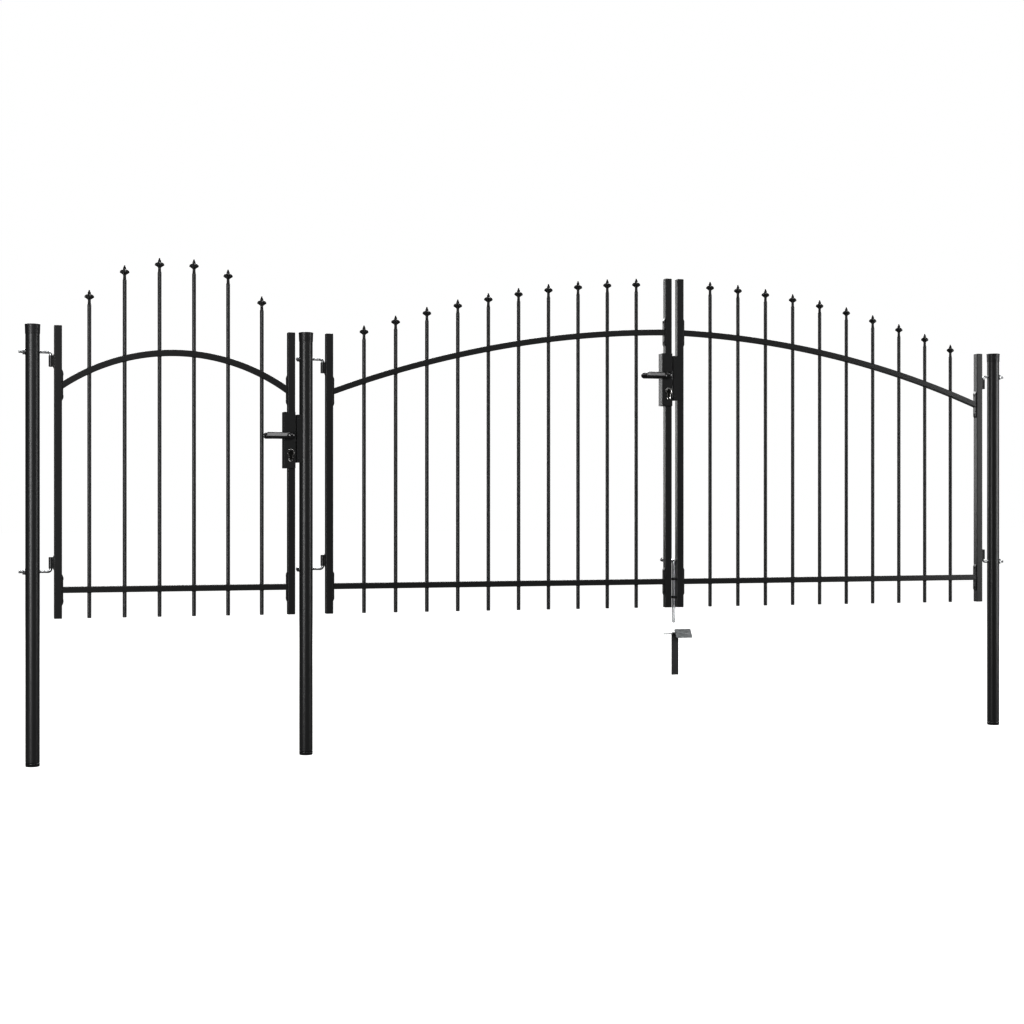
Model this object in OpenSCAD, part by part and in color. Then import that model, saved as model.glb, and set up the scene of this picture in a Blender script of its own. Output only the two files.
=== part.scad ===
// Powder coated steel gate set: a walk gate and a double drive gate on three round posts.
// X runs along the gate, Y points away from the street side and Z points up.
// The origin is the centre of the middle post's foot.

/* [Layout] */
// Distance between the axes of the walk gate's posts
walk_span = 1000; // [900:10:1300]
// Distance between the axes of the drive gate's posts
drive_span = 3000; // [2600:10:4000]
// Height over the posts' feet of the lower ends of stiles and bars
foot_z = 533; // [480:1:600]
// Clear gap between the two meeting stiles
meeting_gap = 25; // [25:0.5:40]
// Clear gap between the middle post and the walk gate's latch stile
latch_gap = 18.5; // [18.5:0.5:40]

/* [Posts] */
// Outside diameter of the round posts
post_d = 50; // [42:1:76]
// Wall of the post tube
post_wall = 2; // [1.5:0.5:4]
// Height of the posts with their caps
post_h = 1600; // [1500:10:2000]
// Depth of the cap's skirt over the post
cap_skirt = 34; // [20:1:50]
// Wall and top thickness of the cap
cap_wall = 1.8; // [1.5:0.1:4]

/* [Stiles] */
// Side of the square stile tube
stile_w = 27; // [25:1:40]
// Wall of the square stile tube
tube_wall = 1.5; // [1:0.1:1.9]
// Corner radius of the square stile tube
stile_r = 4; // [2:0.5:5]
// Drop from the posts' tops to the tops of the short stiles
stile_drop = 2; // [0:1:60]
// Height of the tops of the two meeting stiles
meeting_top_z = 1863; // [1700:1:2100]
// Thickness of the end caps in the stiles
end_cap_t = 3; // [2:0.5:6]
// Depth of the end caps' plugs
end_cap_plug = 14; // [8:1:30]

/* [Rails] */
// Side of the square rail section
rail_w = 20; // [16:1:25]
// Height of the bottom rails' centre line
rail_z = 637; // [610:1:720]
// Radius of the walk gate's arched rail
walk_arch_r = 723; // [650:1:1200]
// Height of the walk arch at the stiles' inner faces
walk_spring_z = 1381.4; // [1340:0.2:1440]
// Radius of the drive leaves' arched rails
drive_arch_r = 4175; // [3200:5:8000]
// Height of the drive arch at the hinge stile's inner face
drive_spring_z = 1379.2; // [1340:0.2:1440]
// Height of the drive arch at the meeting stile's inner face
drive_crown_z = 1646; // [1600:1:1700]
// Height of the bolted plates at the rail ends
plate_h = 116; // [80:1:140]
// Thickness of the rail end plates
plate_t = 4.5; // [3:0.5:8]
// Chamfer along Z at the ends of the plates
plate_chamfer = 10; // [2:1:20]

/* [Bars] */
// Diameter of the round bars
bar_d = 12.5; // [8:0.5:16]
// Number of bars in the walk gate
walk_bars = 6; // [4:1:10]
// Distance from a walk stile's centre to its nearest bar
walk_margin = 111; // [90:1:130]
// Number of bars in each drive leaf
drive_bars = 10; // [6:1:16]
// Distance from a drive stile's centre to its nearest bar
drive_margin = 136; // [100:1:150]
// Height of the row of walk tips at its crown
walk_tip_z = 1861; // [1780:1:2100]
// Fall of the walk tips from the crown to the outer bar
walk_tip_drop = 130; // [0:1:200]
// Exponent of the walk tips' curve
walk_tip_power = 2.6; // [1:0.1:4]
// Height of the row of drive tips at its crown
drive_tip_z = 1862; // [1840:1:2100]
// Fall of the drive tips from the crown to the outer bar
drive_tip_drop = 228; // [0:1:240]
// Exponent of the drive tips' curve
drive_tip_power = 2; // [1:0.1:4]

/* [Finials] */
// Height of a finial over the bar's end
finial_h = 54; // [48:1:80]
// Height of the petals' tips over the bar's end
finial_rim_z = 29; // [24:1:32]
// Width across two petals
finial_d = 32; // [22:1:44]
// Thickness of a petal's outer edge
finial_edge = 3; // [1:0.5:6]
// Height of the petals' lower roots
petal_low_z = 15; // [10:1:20]
// Height of the petals' upper roots
petal_high_z = 38; // [34:1:42]
// Thickness of the petals
petal_t = 8; // [5:0.5:9]
// Diameter of the spear over the petals
spear_d = 9; // [7:0.5:12]
// Diameter of the neck under the petals
neck_d = 10; // [8:0.5:12]

/* [Hinges] */
// Diameter of the hinge bolts and their pins
bolt_d = 10; // [8:1:14]
// Distance from the post's axis to the hinge axis, walk gate and left leaf
hinge_reach = 64.5; // [55:0.5:100]
// Distance from the post's axis to the hinge axis, right leaf
right_reach = 50.5; // [48:0.5:100]
// Drop from the posts' tops to the upper hinge bolts
upper_bolt_drop = 100; // [60:1:130]
// Height of the lower hinge bolts
lower_bolt_z = 704; // [690:1:800]
// Radius of the bend at the centre line of the bolt
bend_r = 11; // [8:1:20]
// Outside diameter of the hinge barrels
barrel_d = 16; // [15:0.5:24]
// Length of the hinge barrels
barrel_h = 41; // [30:1:60]
// Length of the pin in its barrel
pin_len = 38; // [20:1:42]
// Distance from the stile's outer face to the hinge axis
barrel_stand = 11; // [10:0.5:16]
// Radial clearance of the pin in its barrel
pin_clear = 0.3; // [0.1:0.1:0.6]
// Thickness of the hinge plates
hinge_plate_t = 4; // [3.5:0.5:6]
// Height of the hinge plates
hinge_plate_h = 58; // [50:1:90]
// Length of the bolt past the outer posts, on the side away from the leaf
outer_tail = 24; // [14:1:60]
// Length of the bolt past the middle post, on the walk gate's side
middle_tail = 12.5; // [11:0.5:13]
// Width across flats of the hinge nuts
nut_w = 17; // [13:1:22]
// Thickness of the hinge nuts
nut_t = 8; // [5:0.5:8.5]
// Diameter of the washers
washer_d = 22; // [18:1:30]
// Thickness of the washers
washer_t = 2; // [1:0.5:2.5]

/* [Locks] */
// Width of the lock cases along the gate
lock_w = 44; // [38:1:60]
// Height of the lock cases
lock_h = 212; // [180:1:260]
// Depth of the lock cases
lock_depth = 40; // [34:1:60]
// Height of the middle of the walk gate's lock
walk_lock_z = 1191; // [1100:1:1230]
// Height of the middle of the drive gate's lock
drive_lock_z = 1454; // [1100:1:1470]
// Distance from the stile's outer face to the lever and key axes
lever_inset = 17.5; // [14:0.5:20]
// Height of the lever axis over the middle of the lock
lever_rise = 18; // [0:1:50]
// Depth of the key axis under the middle of the lock
key_drop = 48; // [30:1:70]
// Diameter of the roses round the spindle
rose_d = 28; // [24:1:34]
// Thickness of the roses
rose_t = 3; // [2:0.5:6]
// Diameter of the lever spindle
spindle_d = 10; // [8:0.5:10]
// Length of the lever from its axis to its tip
lever_len = 97; // [80:1:120]
// Height of the lever's section
lever_h = 24; // [16:1:26]
// Thickness of the lever's section
lever_t = 12; // [8:1:16]
// Gap between the lever and the lock case
lever_stand = 6; // [6:0.5:30]
// Diameter of the key plate's round head
key_plate_d = 28; // [26:1:32]
// Height of the key plates
key_plate_h = 49; // [46:1:60]
// Thickness of the key plates
key_plate_t = 2.5; // [1.5:0.5:5]
// Diameter of the lock cylinder's head
cylinder_d = 17; // [15:0.5:18]
// Height of the lock cylinder's profile
cylinder_h = 33; // [28:0.5:36]
// Width of the lock cylinder's lower part
cylinder_neck = 10; // [8:0.5:12]

/* [Keeps] */
// Height of the keeps that the locks close on
keep_h = 181; // [150:1:210]
// Thickness of the keeps
keep_t = 3; // [2:0.5:4]
// Gap between a lock's outer face and its keep
keep_clear = 5.4; // [5:0.1:8]
// Distance from the walk keep's front face to the gate's middle plane
keep_front = 19; // [16:0.5:22]
// Height of the keeps' middle over the middle of the locks
keep_rise = 6; // [0:0.5:10]
// Height of the latch slot
latch_slot_h = 34; // [20:1:50]
// Height of the bolt slot
bolt_slot_h = 42; // [20:1:60]
// Depth of both slots across the flange
slot_depth = 14; // [8:1:16]

/* [Drop bolt] */
// Diameter of the drop bolt's rod
rod_d = 13; // [10:0.5:13]
// Height of the rod's lower end when it is up
rod_low_z = 470.5; // [450:0.5:500]
// Height of the handle's axis when the bolt is up
rod_high_z = 722; // [715:1:800]
// Gap between the rod and the stile that carries it
rod_stand = 5; // [4:0.5:6]
// Length of the handle from the rod's axis to its end
handle_len = 126; // [80:1:160]
// Diameter of the sleeve on the handle
sleeve_d = 16; // [15:0.5:20]
// Height of the upper guide
upper_guide_z = 647; // [640:1:652]
// Height of the lower guide
lower_guide_z = 574; // [550:1:600]
// Height of each guide block
guide_h = 9; // [6:1:14]
// Wall of the guide round the rod
guide_wall = 1.7; // [1.5:0.1:2]

/* [Ground stop] */
// Width of the stake's angle section
stake_w = 28; // [26:1:40]
// Thickness of the stake's legs
stake_t = 3; // [2:0.5:5]
// Height of the stake's foot
stake_low_z = 260; // [100:5:300]
// Height of the stake's top
stake_high_z = 430; // [425:1:432]
// Gap between the drop bolt and the stake's legs
stake_clear = 6; // [5:0.5:8]
// Height of the flap's pin
flap_pin_z = 427; // [420:1:427]
// Diameter of the flap's pin
flap_pin_d = 4; // [3:0.5:5]
// Distance from the stake's front face to the flap's pin
flap_stand = 9; // [8:0.5:12]
// Width of the flap along the gate
flap_w = 70; // [40:1:100]
// Length of the flap down its slope
flap_l = 40; // [30:1:42]
// Thickness of the flap
flap_t = 3; // [2:0.5:3.5]
// Slope of the flap from level at rest
flap_slope = 57; // [54:1:60]
// Length of the pin past the eye
flap_pin_tail = 42; // [10:1:60]
// Width of the eye that holds the pin
eye_w = 9; // [6:1:14]
// Diameter of the eye
eye_d = 12; // [9:1:14]

/* [Hidden] */
$fn = 48;

coat = [0.09, 0.095, 0.1];
plastic = [0.05, 0.05, 0.055];
zinc = [0.68, 0.69, 0.71];
nickel = [0.6, 0.6, 0.6];
flap_grey = [0.42, 0.43, 0.44];

seat = 0.1;
bolt_clear = 0.3;
over = 1;
drive_arch_fn = 1440;
walk_arch_fn = 360;
corner_steps = 4;
curve_steps = 5;

post_r = post_d / 2;
half_stile = stile_w / 2;
stile_top_z = post_h - stile_drop;
upper_bolt_z = post_h - upper_bolt_drop;
left_post_x = -walk_span;
right_post_x = drive_span;

walk_axis_x = left_post_x + hinge_reach;
left_axis_x = hinge_reach;
right_axis_x = right_post_x - right_reach;
stile_offset = half_stile + barrel_stand;
walk_hinge_x = walk_axis_x + stile_offset;
walk_latch_x = -post_r - latch_gap - half_stile;
left_hinge_x = left_axis_x + stile_offset;
right_hinge_x = right_axis_x - stile_offset;
drive_mid_x = (left_hinge_x + right_hinge_x) / 2;
left_meeting_x = drive_mid_x - meeting_gap / 2 - half_stile;
right_meeting_x = drive_mid_x + meeting_gap / 2 + half_stile;

walk_lock_x = walk_latch_x + half_stile;
left_lock_x = left_meeting_x + half_stile;
lever_y = lock_depth / 2 + lever_stand + lever_t / 2;
cylinder_proud = 1.5;
keyway_w = 1.8;
keyway_h = 9;
keyway_depth = 2.5;

stile_hole_d = spindle_d + 2 * pin_clear;
rod_x = right_meeting_x - half_stile - rod_stand - rod_d / 2;
rod_bend_r = 12;
sleeve_start = rod_bend_r + 4;
sleeve_end_t = 4;

stake_front_y = -rod_d / 2 - stake_clear - stake_t;
stake_right_x = rod_x + rod_d / 2 + stake_clear + stake_t;
stake_left_x = stake_right_x - stake_w;
flap_pin_y = stake_front_y - flap_stand;
eye_right_x = stake_left_x + eye_w;
flap_left_x = eye_right_x + 2 * pin_clear;

// Points of a square of side s with corners rounded to radius r
function rounded_square(s, r) = [
    for (quarter = [0:3], step = [0:corner_steps])
        let (turn = 90 * (quarter + step / corner_steps), mid = 90 * quarter + 45)
        [
            (s / 2 - r) * sign(cos(mid)) + r * cos(turn),
            (s / 2 - r) * sign(sin(mid)) + r * sin(turn)
        ]
];

// Centre of the circle of radius r that passes over two points a and b
function arc_centre(a, b, r) =
    let (chord = b - a, half = norm(chord) / 2, fall = sqrt(r * r - half * half))
    (a + b) / 2 + fall * [chord.y, -chord.x] / norm(chord);

// Height of a bar's tip from its distance out, as a share of the outermost bar's
function tip_z(crown, drop, power, share) = crown - drop * pow(abs(share), power);

function spread(first, last, count, i) = first + (last - first) * i / (count - 1);

// Bar positions and tip heights of the walk gate and the two leaves, as [x, tip]
walk_centre_x = (walk_hinge_x + walk_latch_x) / 2;
walk_outer = (walk_latch_x - walk_hinge_x) / 2 - walk_margin;
walk_tips = [
    for (i = [0:walk_bars - 1])
        let (x = spread(-walk_outer, walk_outer, walk_bars, i))
        [walk_centre_x + x, tip_z(walk_tip_z, walk_tip_drop, walk_tip_power, x / walk_outer)]
];
drive_outer = drive_mid_x - left_hinge_x - drive_margin;
drive_inner = drive_mid_x - left_meeting_x + drive_margin;
drive_tips = [
    for (i = [0:drive_bars - 1])
        let (x = spread(drive_outer, drive_inner, drive_bars, i))
        [x, tip_z(drive_tip_z, drive_tip_drop, drive_tip_power, x / drive_outer)]
];
left_tips = [for (p = drive_tips) [drive_mid_x - p.x, p.y]];

// Posts and their fittings

module post(x) {
    color(coat)
        translate([x, 0, 0])
            difference() {
                cylinder(d = post_d, h = post_h - cap_wall);
                translate([0, 0, post_wall])
                    cylinder(d = post_d - 2 * post_wall, h = post_h);
                for (z = [upper_bolt_z, lower_bolt_z])
                    translate([-post_d, 0, z])
                        rotate([0, 90, 0])
                            cylinder(d = bolt_d + 2 * bolt_clear, h = 2 * post_d);
            }
}

module post_cap(x) {
    rim_t = 3;
    rim_proud = 0.6;
    lower_wall = 0.9;
    color(plastic)
        translate([x, 0, post_h - cap_skirt])
            difference() {
                union() {
                    cylinder(r1 = post_r + seat + lower_wall, r2 = post_r + seat + cap_wall, h = cap_skirt);
                    translate([0, 0, cap_skirt - rim_t])
                        cylinder(r = post_r + seat + cap_wall + rim_proud, h = rim_t);
                }
                translate([0, 0, -over])
                    cylinder(r = post_r + seat, h = cap_skirt - cap_wall + over);
            }
}

// Bolt with its hinge axis at the origin, its shank towards -X and its pin down
module hinge_bolt(reach, tail) {
    shank = reach + post_r + tail - bend_r;
    translate([-bend_r - shank, 0, 0])
        rotate([0, 90, 0])
            cylinder(d = bolt_d, h = shank);
    translate([-bend_r, 0, -bend_r])
        rotate([90, 0, 0])
            rotate_extrude(angle = 90)
                translate([bend_r, 0])
                    circle(d = bolt_d);
    translate([0, 0, -bend_r - pin_len])
        cylinder(d = bolt_d, h = pin_len);
}

// Upper bolt with its pin down and lower bolt with its pin up
module hinge_bolts(axis_x, side, reach, tail) {
    color(zinc)
        for (end = [[upper_bolt_z, 1], [lower_bolt_z, -1]])
            translate([axis_x, 0, end[0]])
                mirrored(side, end[1])
                    hinge_bolt(reach, tail);
}

module mirrored(side_x, side_z) {
    mirror([side_x < 0 ? 1 : 0, 0, 0])
        mirror([0, 0, side_z < 0 ? 1 : 0])
            children();
}

// Nuts and washers on the side of the post away from the leaf
module hinge_nuts(post_x, side) {
    color(zinc)
        for (z = [upper_bolt_z, lower_bolt_z])
            translate([post_x, 0, z])
                mirror([side < 0 ? 1 : 0, 0, 0])
                    translate([-post_r - seat / 2, 0, 0])
                        rotate([0, -90, 0])
                            difference() {
                                union() {
                                    cylinder(d = washer_d, h = washer_t);
                                    translate([0, 0, washer_t])
                                        cylinder(d = nut_w / cos(30), h = nut_t, $fn = 6);
                                }
                                translate([0, 0, -over])
                                    cylinder(d = bolt_d + 2 * seat, h = washer_t + nut_t + 2 * over);
                            }
}

// Slots for the latch and the bolt, through a flange that faces along X
module keep_slots(x, lock_z) {
    slot_y = -slot_depth / 2;
    translate([x - over, slot_y, lock_z + lever_rise - latch_slot_h / 2])
        cube([keep_t + 2 * over, slot_depth, latch_slot_h]);
    translate([x - over, slot_y, lock_z - key_drop - bolt_slot_h / 2])
        cube([keep_t + 2 * over, slot_depth, bolt_slot_h]);
}

module walk_keep() {
    left_x = walk_lock_x + keep_clear;
    low_z = walk_lock_z + keep_rise - keep_h / 2;
    color(coat)
        difference() {
            union() {
                translate([left_x, -keep_front, low_z])
                    cube([-left_x, keep_t, keep_h]);
                translate([left_x, -keep_front, low_z])
                    cube([keep_t, 2 * keep_front - keep_t, keep_h]);
            }
            keep_slots(left_x, walk_lock_z);
            translate([0, 0, low_z - over])
                cylinder(r = post_r + seat, h = keep_h + 2 * over);
        }
}

module right_keep() {
    left_x = left_lock_x + keep_clear;
    right_x = right_meeting_x + half_stile - stile_r - over;
    low_z = drive_lock_z + keep_rise - keep_h / 2;
    color(coat)
        difference() {
            union() {
                translate([left_x, -half_stile - keep_t, low_z])
                    cube([right_x - left_x, keep_t, keep_h]);
                translate([left_x, -half_stile - keep_t, low_z])
                    cube([keep_t, stile_w + keep_t - over, keep_h]);
            }
            keep_slots(left_x, drive_lock_z);
        }
}

// Stiles, panels and what is fixed to them

module stile_tube(x, top_z) {
    translate([x, 0, foot_z + end_cap_t])
        linear_extrude(top_z - foot_z - 2 * end_cap_t)
            difference() {
                polygon(rounded_square(stile_w, stile_r));
                polygon(rounded_square(stile_w - 2 * tube_wall, stile_r - tube_wall));
            }
}

// Stile without a lock
module plain_stile(x, top_z) {
    color(coat)
        stile_tube(x, top_z);
}

// Stile drilled for the lever spindle
module lock_stile(x, top_z, lock_z) {
    color(coat)
        difference() {
            stile_tube(x, top_z);
            spindle_hole(x + half_stile, lock_z);
        }
}

module spindle_hole(lock_x, lock_z) {
    translate([lock_x - lever_inset, -lock_depth, lock_z + lever_rise])
        rotate([-90, 0, 0])
            cylinder(d = stile_hole_d, h = 2 * lock_depth);
}

module end_cap() {
    linear_extrude(end_cap_t)
        polygon(rounded_square(stile_w, stile_r));
    translate([0, 0, -end_cap_plug])
        linear_extrude(end_cap_plug)
            polygon(rounded_square(stile_w - 2 * tube_wall - 2 * seat, stile_r - tube_wall));
}

module stile_caps(stiles) {
    color(plastic)
        for (s = stiles) {
            translate([s[0], 0, s[1] - end_cap_t])
                end_cap();
            translate([s[0], 0, foot_z + end_cap_t])
                mirror([0, 0, 1])
                    end_cap();
        }
}

// Plate with chamfered ends against a stile's inner face, out along X
module end_plate(x, z, side) {
    plate_w = stile_w - 2 * stile_r;
    translate([x, plate_w / 2, z])
        mirror([side < 0 ? 1 : 0, 0, 0])
            rotate([90, 0, 0])
                linear_extrude(plate_w)
                    polygon([
                        [0, -plate_h / 2],
                        [plate_t, -plate_h / 2 + plate_chamfer],
                        [plate_t, plate_h / 2 - plate_chamfer],
                        [0, plate_h / 2]
                    ]);
}

// Arched rail from point a to point b, both given as [x, z], cut off square to X at both ends
module arch_rail(a, b, r, fn) {
    centre = arc_centre(a, b, r);
    spare = atan2(2 * rail_w, r);
    start = atan2(b.y - centre.y, b.x - centre.x) - spare;
    sweep = atan2(a.y - centre.y, a.x - centre.x) + spare - start;
    intersection() {
        translate([centre.x, 0, centre.y])
            rotate([90, 0, 0])
                rotate([0, 0, start])
                    rotate_extrude(angle = sweep, $fn = fn)
                        translate([r, 0])
                            square(rail_w, center = true);
        translate([a.x, -rail_w, 0])
            cube([b.x - a.x, 2 * rail_w, drive_tip_z]);
    }
}

// Bottom rail, arched rail with the heights of its ends, end plates and bars of one leaf
module panel(left_x, right_x, ends_z, r, fn, tips) {
    left_face = left_x + half_stile;
    right_face = right_x - half_stile;
    rail_left = left_face + plate_t / 2;
    rail_right = right_face - plate_t / 2;
    color(coat)
        union() {
            translate([rail_left, -rail_w / 2, rail_z - rail_w / 2])
                cube([rail_right - rail_left, rail_w, rail_w]);
            arch_rail([rail_left, ends_z[0]], [rail_right, ends_z[1]], r, fn);
            for (z = [rail_z, ends_z[0]])
                end_plate(left_face, z, 1);
            for (z = [rail_z, ends_z[1]])
                end_plate(right_face, z, -1);
            for (p = tips)
                translate([p.x, 0, foot_z])
                    cylinder(d = bar_d, h = p.y - finial_h - foot_z);
        }
}

module walk_panel() {
    ends_z = [walk_spring_z, walk_spring_z];
    panel(walk_hinge_x, walk_latch_x, ends_z, walk_arch_r, walk_arch_fn, walk_tips);
}

// Panel of the left leaf
module drive_panel() {
    ends_z = [drive_spring_z, drive_crown_z];
    panel(left_hinge_x, left_meeting_x, ends_z, drive_arch_r, drive_arch_fn, left_tips);
}

// Carries a piece of the left leaf over to the right leaf
module across_drive() {
    translate([2 * drive_mid_x, 0, 0])
        mirror([1, 0, 0])
            children();
}

// Points on a cove that leaves a upright and reaches b level, both given as [radius, height]
function cove(a, b) = [
    for (turn = [0:90 / curve_steps:90])
        [
            a.x + (b.x - a.x) * (1 - cos(turn)),
            a.y + (b.y - a.y) * sin(turn)
        ]
];

// Points on a full curve that leaves a upright and reaches b level
function bulge(a, b) = [
    for (turn = [0:90 / curve_steps:90])
        [
            b.x + (a.x - b.x) * cos(turn),
            a.y + (b.y - a.y) * sin(turn)
        ]
];

function reversed(list) = [for (i = [len(list) - 1:-1:0]) list[i]];

// Outline of two petals on opposite sides of the spear
module petal_pair() {
    root_r = neck_d / 4;
    reach = finial_d / 2;
    edge = concat(
        cove([root_r, petal_low_z], [reach, finial_rim_z - finial_edge / 2]),
        bulge([reach, finial_rim_z + finial_edge / 2], [root_r, petal_high_z])
    );
    polygon(concat(edge, [for (p = reversed(edge)) [-p.x, p.y]]));
}

// Neck and spear, turned, with four petals round them
module finial() {
    tip_r = 0.6;
    spear_low_z = petal_high_z - spear_d / 2;
    rotate_extrude()
        polygon(concat(
            [[0, 0]],
            reversed(cove([neck_d / 2, petal_low_z], [bar_d / 2, 0])),
            [
                [neck_d / 2, spear_low_z],
                [spear_d / 2, petal_high_z + spear_d / 2],
                [tip_r, finial_h],
                [0, finial_h]
            ]
        ));
    for (turn = [0, 90])
        rotate([90, 0, turn])
            translate([0, 0, -petal_t / 2])
                linear_extrude(petal_t)
                    petal_pair();
}

module finials(tips) {
    color(coat)
        for (p = tips)
            translate([p.x, 0, p.y - finial_h])
                finial();
}

// Barrel and plate with the hinge axis at the origin and the stile towards +X
module hinge_eye() {
    plate_w = stile_w - 2 * stile_r;
    difference() {
        union() {
            cylinder(d = barrel_d, h = barrel_h, center = true);
            translate([barrel_stand, plate_w / 2, 0])
                rotate([90, 0, 0])
                    linear_extrude(plate_w)
                        polygon([
                            [0, -hinge_plate_h / 2],
                            [0, hinge_plate_h / 2],
                            [-hinge_plate_t, hinge_plate_h / 2 - plate_chamfer],
                            [-hinge_plate_t, -hinge_plate_h / 2 + plate_chamfer]
                        ]);
        }
        cylinder(d = bolt_d + 2 * pin_clear, h = hinge_plate_h, center = true);
    }
}

module hinge_eyes(axis_x, side) {
    eye_drop = bend_r + barrel_h / 2;
    color(coat)
        for (z = [upper_bolt_z - eye_drop, lower_bolt_z + eye_drop])
            translate([axis_x, 0, z])
                mirror([side < 0 ? 1 : 0, 0, 0])
                    hinge_eye();
}

// Locks

module lock_case(lock_x, lock_z) {
    edge = 2;
    color(coat)
        difference() {
            union() {
                translate([lock_x - lock_w, -lock_depth / 2, lock_z - lock_h / 2])
                    chamfered_case(edge);
                translate([lock_x - lever_inset, 0, lock_z + lever_rise])
                    rotate([90, 0, 0])
                        cylinder(d = rose_d, h = lock_depth + 2 * rose_t, center = true);
            }
            translate([lock_x - stile_w - seat, -half_stile - seat, lock_z - lock_h])
                cube([lock_w, stile_w + 2 * seat, 2 * lock_h]);
            spindle_hole(lock_x, lock_z);
        }
}

// Case with chamfers on the two upright edges away from the stile
module chamfered_case(edge) {
    linear_extrude(lock_h)
        polygon([
            [edge, 0], [lock_w, 0], [lock_w, lock_depth], [edge, lock_depth],
            [0, lock_depth - edge], [0, edge]
        ]);
}

// Round head over a narrower foot, in the plane of the lock's face
module key_outline(head_d, neck_w, h) {
    foot_y = head_d / 2 - h + neck_w / 2;
    circle(d = head_d);
    translate([-neck_w / 2, foot_y])
        square([neck_w, -foot_y]);
    translate([0, foot_y])
        circle(d = neck_w);
}

// Places its children on the front and the back of a lock, with +Z out from the face
module on_both_faces(lock_x, lock_z) {
    for (turn = [0, 180])
        translate([lock_x - lever_inset, 0, lock_z - key_drop])
            rotate([0, 0, turn])
                translate([0, -lock_depth / 2, 0])
                    rotate([90, 0, 0])
                        children();
}

module key_plates(lock_x, lock_z) {
    foot_rim = 3;
    foot_w = cylinder_neck + 2 * foot_rim;
    color(nickel)
        on_both_faces(lock_x, lock_z)
            linear_extrude(key_plate_t)
                difference() {
                    key_outline(key_plate_d, foot_w, key_plate_h);
                    key_outline(cylinder_d + 2 * seat, cylinder_neck + 2 * seat, cylinder_h + 2 * seat);
                }
}

module lock_cylinders(lock_x, lock_z) {
    face_z = key_plate_t + cylinder_proud;
    color(nickel)
        on_both_faces(lock_x, lock_z)
            difference() {
                linear_extrude(face_z)
                    key_outline(cylinder_d, cylinder_neck, cylinder_h);
                translate([-keyway_w / 2, -keyway_h / 2, face_z - keyway_depth])
                    cube([keyway_w, keyway_h, keyway_depth + over]);
            }
}

// Spindle along Y with a lever on each side, both pointing to -X
module levers(lock_x, lock_z) {
    hub_step = 2;
    hub_d = lever_h - 2 * hub_step;
    color(plastic)
        translate([lock_x - lever_inset, 0, lock_z + lever_rise]) {
            rotate([90, 0, 0])
                cylinder(d = spindle_d, h = 2 * lever_y, center = true);
            for (side = [-1, 1])
                translate([0, side * lever_y, 0])
                    lever(hub_d);
        }
}

// Lever with rounded long edges, a round hub and a round tip
module lever(hub_d) {
    rotate([90, 0, 0])
        cylinder(d = hub_d, h = lever_t, center = true);
    intersection() {
        union() {
            translate([-lever_len, -lever_t / 2, -(lever_h - lever_t) / 2])
                cube([lever_len, lever_t, lever_h - lever_t]);
            for (side = [-1, 1])
                translate([-lever_len, 0, side * (lever_h - lever_t) / 2])
                    rotate([0, 90, 0])
                        cylinder(d = lever_t, h = lever_len);
        }
        union() {
            translate([-lever_len + lever_h / 2, -lever_t, -lever_h])
                cube([lever_len, 2 * lever_t, 2 * lever_h]);
            translate([-lever_len + lever_h / 2, 0, 0])
                rotate([90, 0, 0])
                    cylinder(d = lever_h, h = 2 * lever_t, center = true);
        }
    }
}

// Drop bolt

module bolt_guides() {
    guide_r = rod_d / 2 + pin_clear + guide_wall;
    face_x = right_meeting_x - half_stile;
    color(coat)
        for (z = [upper_guide_z, lower_guide_z])
            translate([rod_x, 0, z - guide_h / 2])
                difference() {
                    union() {
                        cylinder(r = guide_r, h = guide_h);
                        translate([0, -guide_r, 0])
                            cube([face_x - rod_x, 2 * guide_r, guide_h]);
                    }
                    translate([0, 0, -over])
                        cylinder(r = rod_d / 2 + pin_clear, h = guide_h + 2 * over);
                }
}

module drop_bolt_rod() {
    straight_z = rod_high_z - rod_bend_r;
    color(zinc)
        translate([rod_x, 0, 0]) {
            translate([0, 0, rod_low_z])
                cylinder(d = rod_d, h = straight_z - rod_low_z);
            translate([0, rod_bend_r, straight_z])
                rotate([90, 0, -90])
                    rotate_extrude(angle = 90)
                        translate([rod_bend_r, 0])
                            circle(d = rod_d);
            translate([0, rod_bend_r, rod_high_z])
                rotate([-90, 0, 0])
                    cylinder(d = rod_d, h = handle_len - sleeve_end_t - rod_bend_r);
        }
}

module drop_bolt_sleeve() {
    round_r = 3;
    sleeve_l = handle_len - sleeve_start;
    sleeve_r = sleeve_d / 2;
    color(plastic)
        translate([rod_x, sleeve_start, rod_high_z])
            rotate([-90, 0, 0])
                difference() {
                    union() {
                        cylinder(r = sleeve_r, h = sleeve_l - round_r);
                        translate([0, 0, sleeve_l - round_r])
                            cylinder(r1 = sleeve_r, r2 = sleeve_r - round_r, h = round_r);
                    }
                    translate([0, 0, -over])
                        cylinder(d = rod_d + 2 * seat, h = sleeve_l - sleeve_end_t + over);
                }
}

// Ground stop

module stop_stake() {
    stake_h = stake_high_z - stake_low_z;
    color(coat)
        difference() {
            union() {
                translate([stake_left_x, stake_front_y, stake_low_z])
                    cube([stake_w, stake_t, stake_h]);
                translate([stake_right_x - stake_t, stake_front_y, stake_low_z])
                    cube([stake_t, stake_w, stake_h]);
                translate([stake_left_x, flap_pin_y, flap_pin_z])
                    rotate([0, 90, 0])
                        cylinder(d = eye_d, h = eye_w);
                translate([stake_left_x, flap_pin_y, flap_pin_z - eye_d / 2])
                    cube([eye_w, flap_stand, stake_high_z - flap_pin_z + eye_d / 2]);
            }
            translate([stake_left_x - over, flap_pin_y, flap_pin_z])
                rotate([0, 90, 0])
                    cylinder(d = flap_pin_d + 2 * pin_clear, h = eye_w + 2 * over);
        }
}

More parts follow.
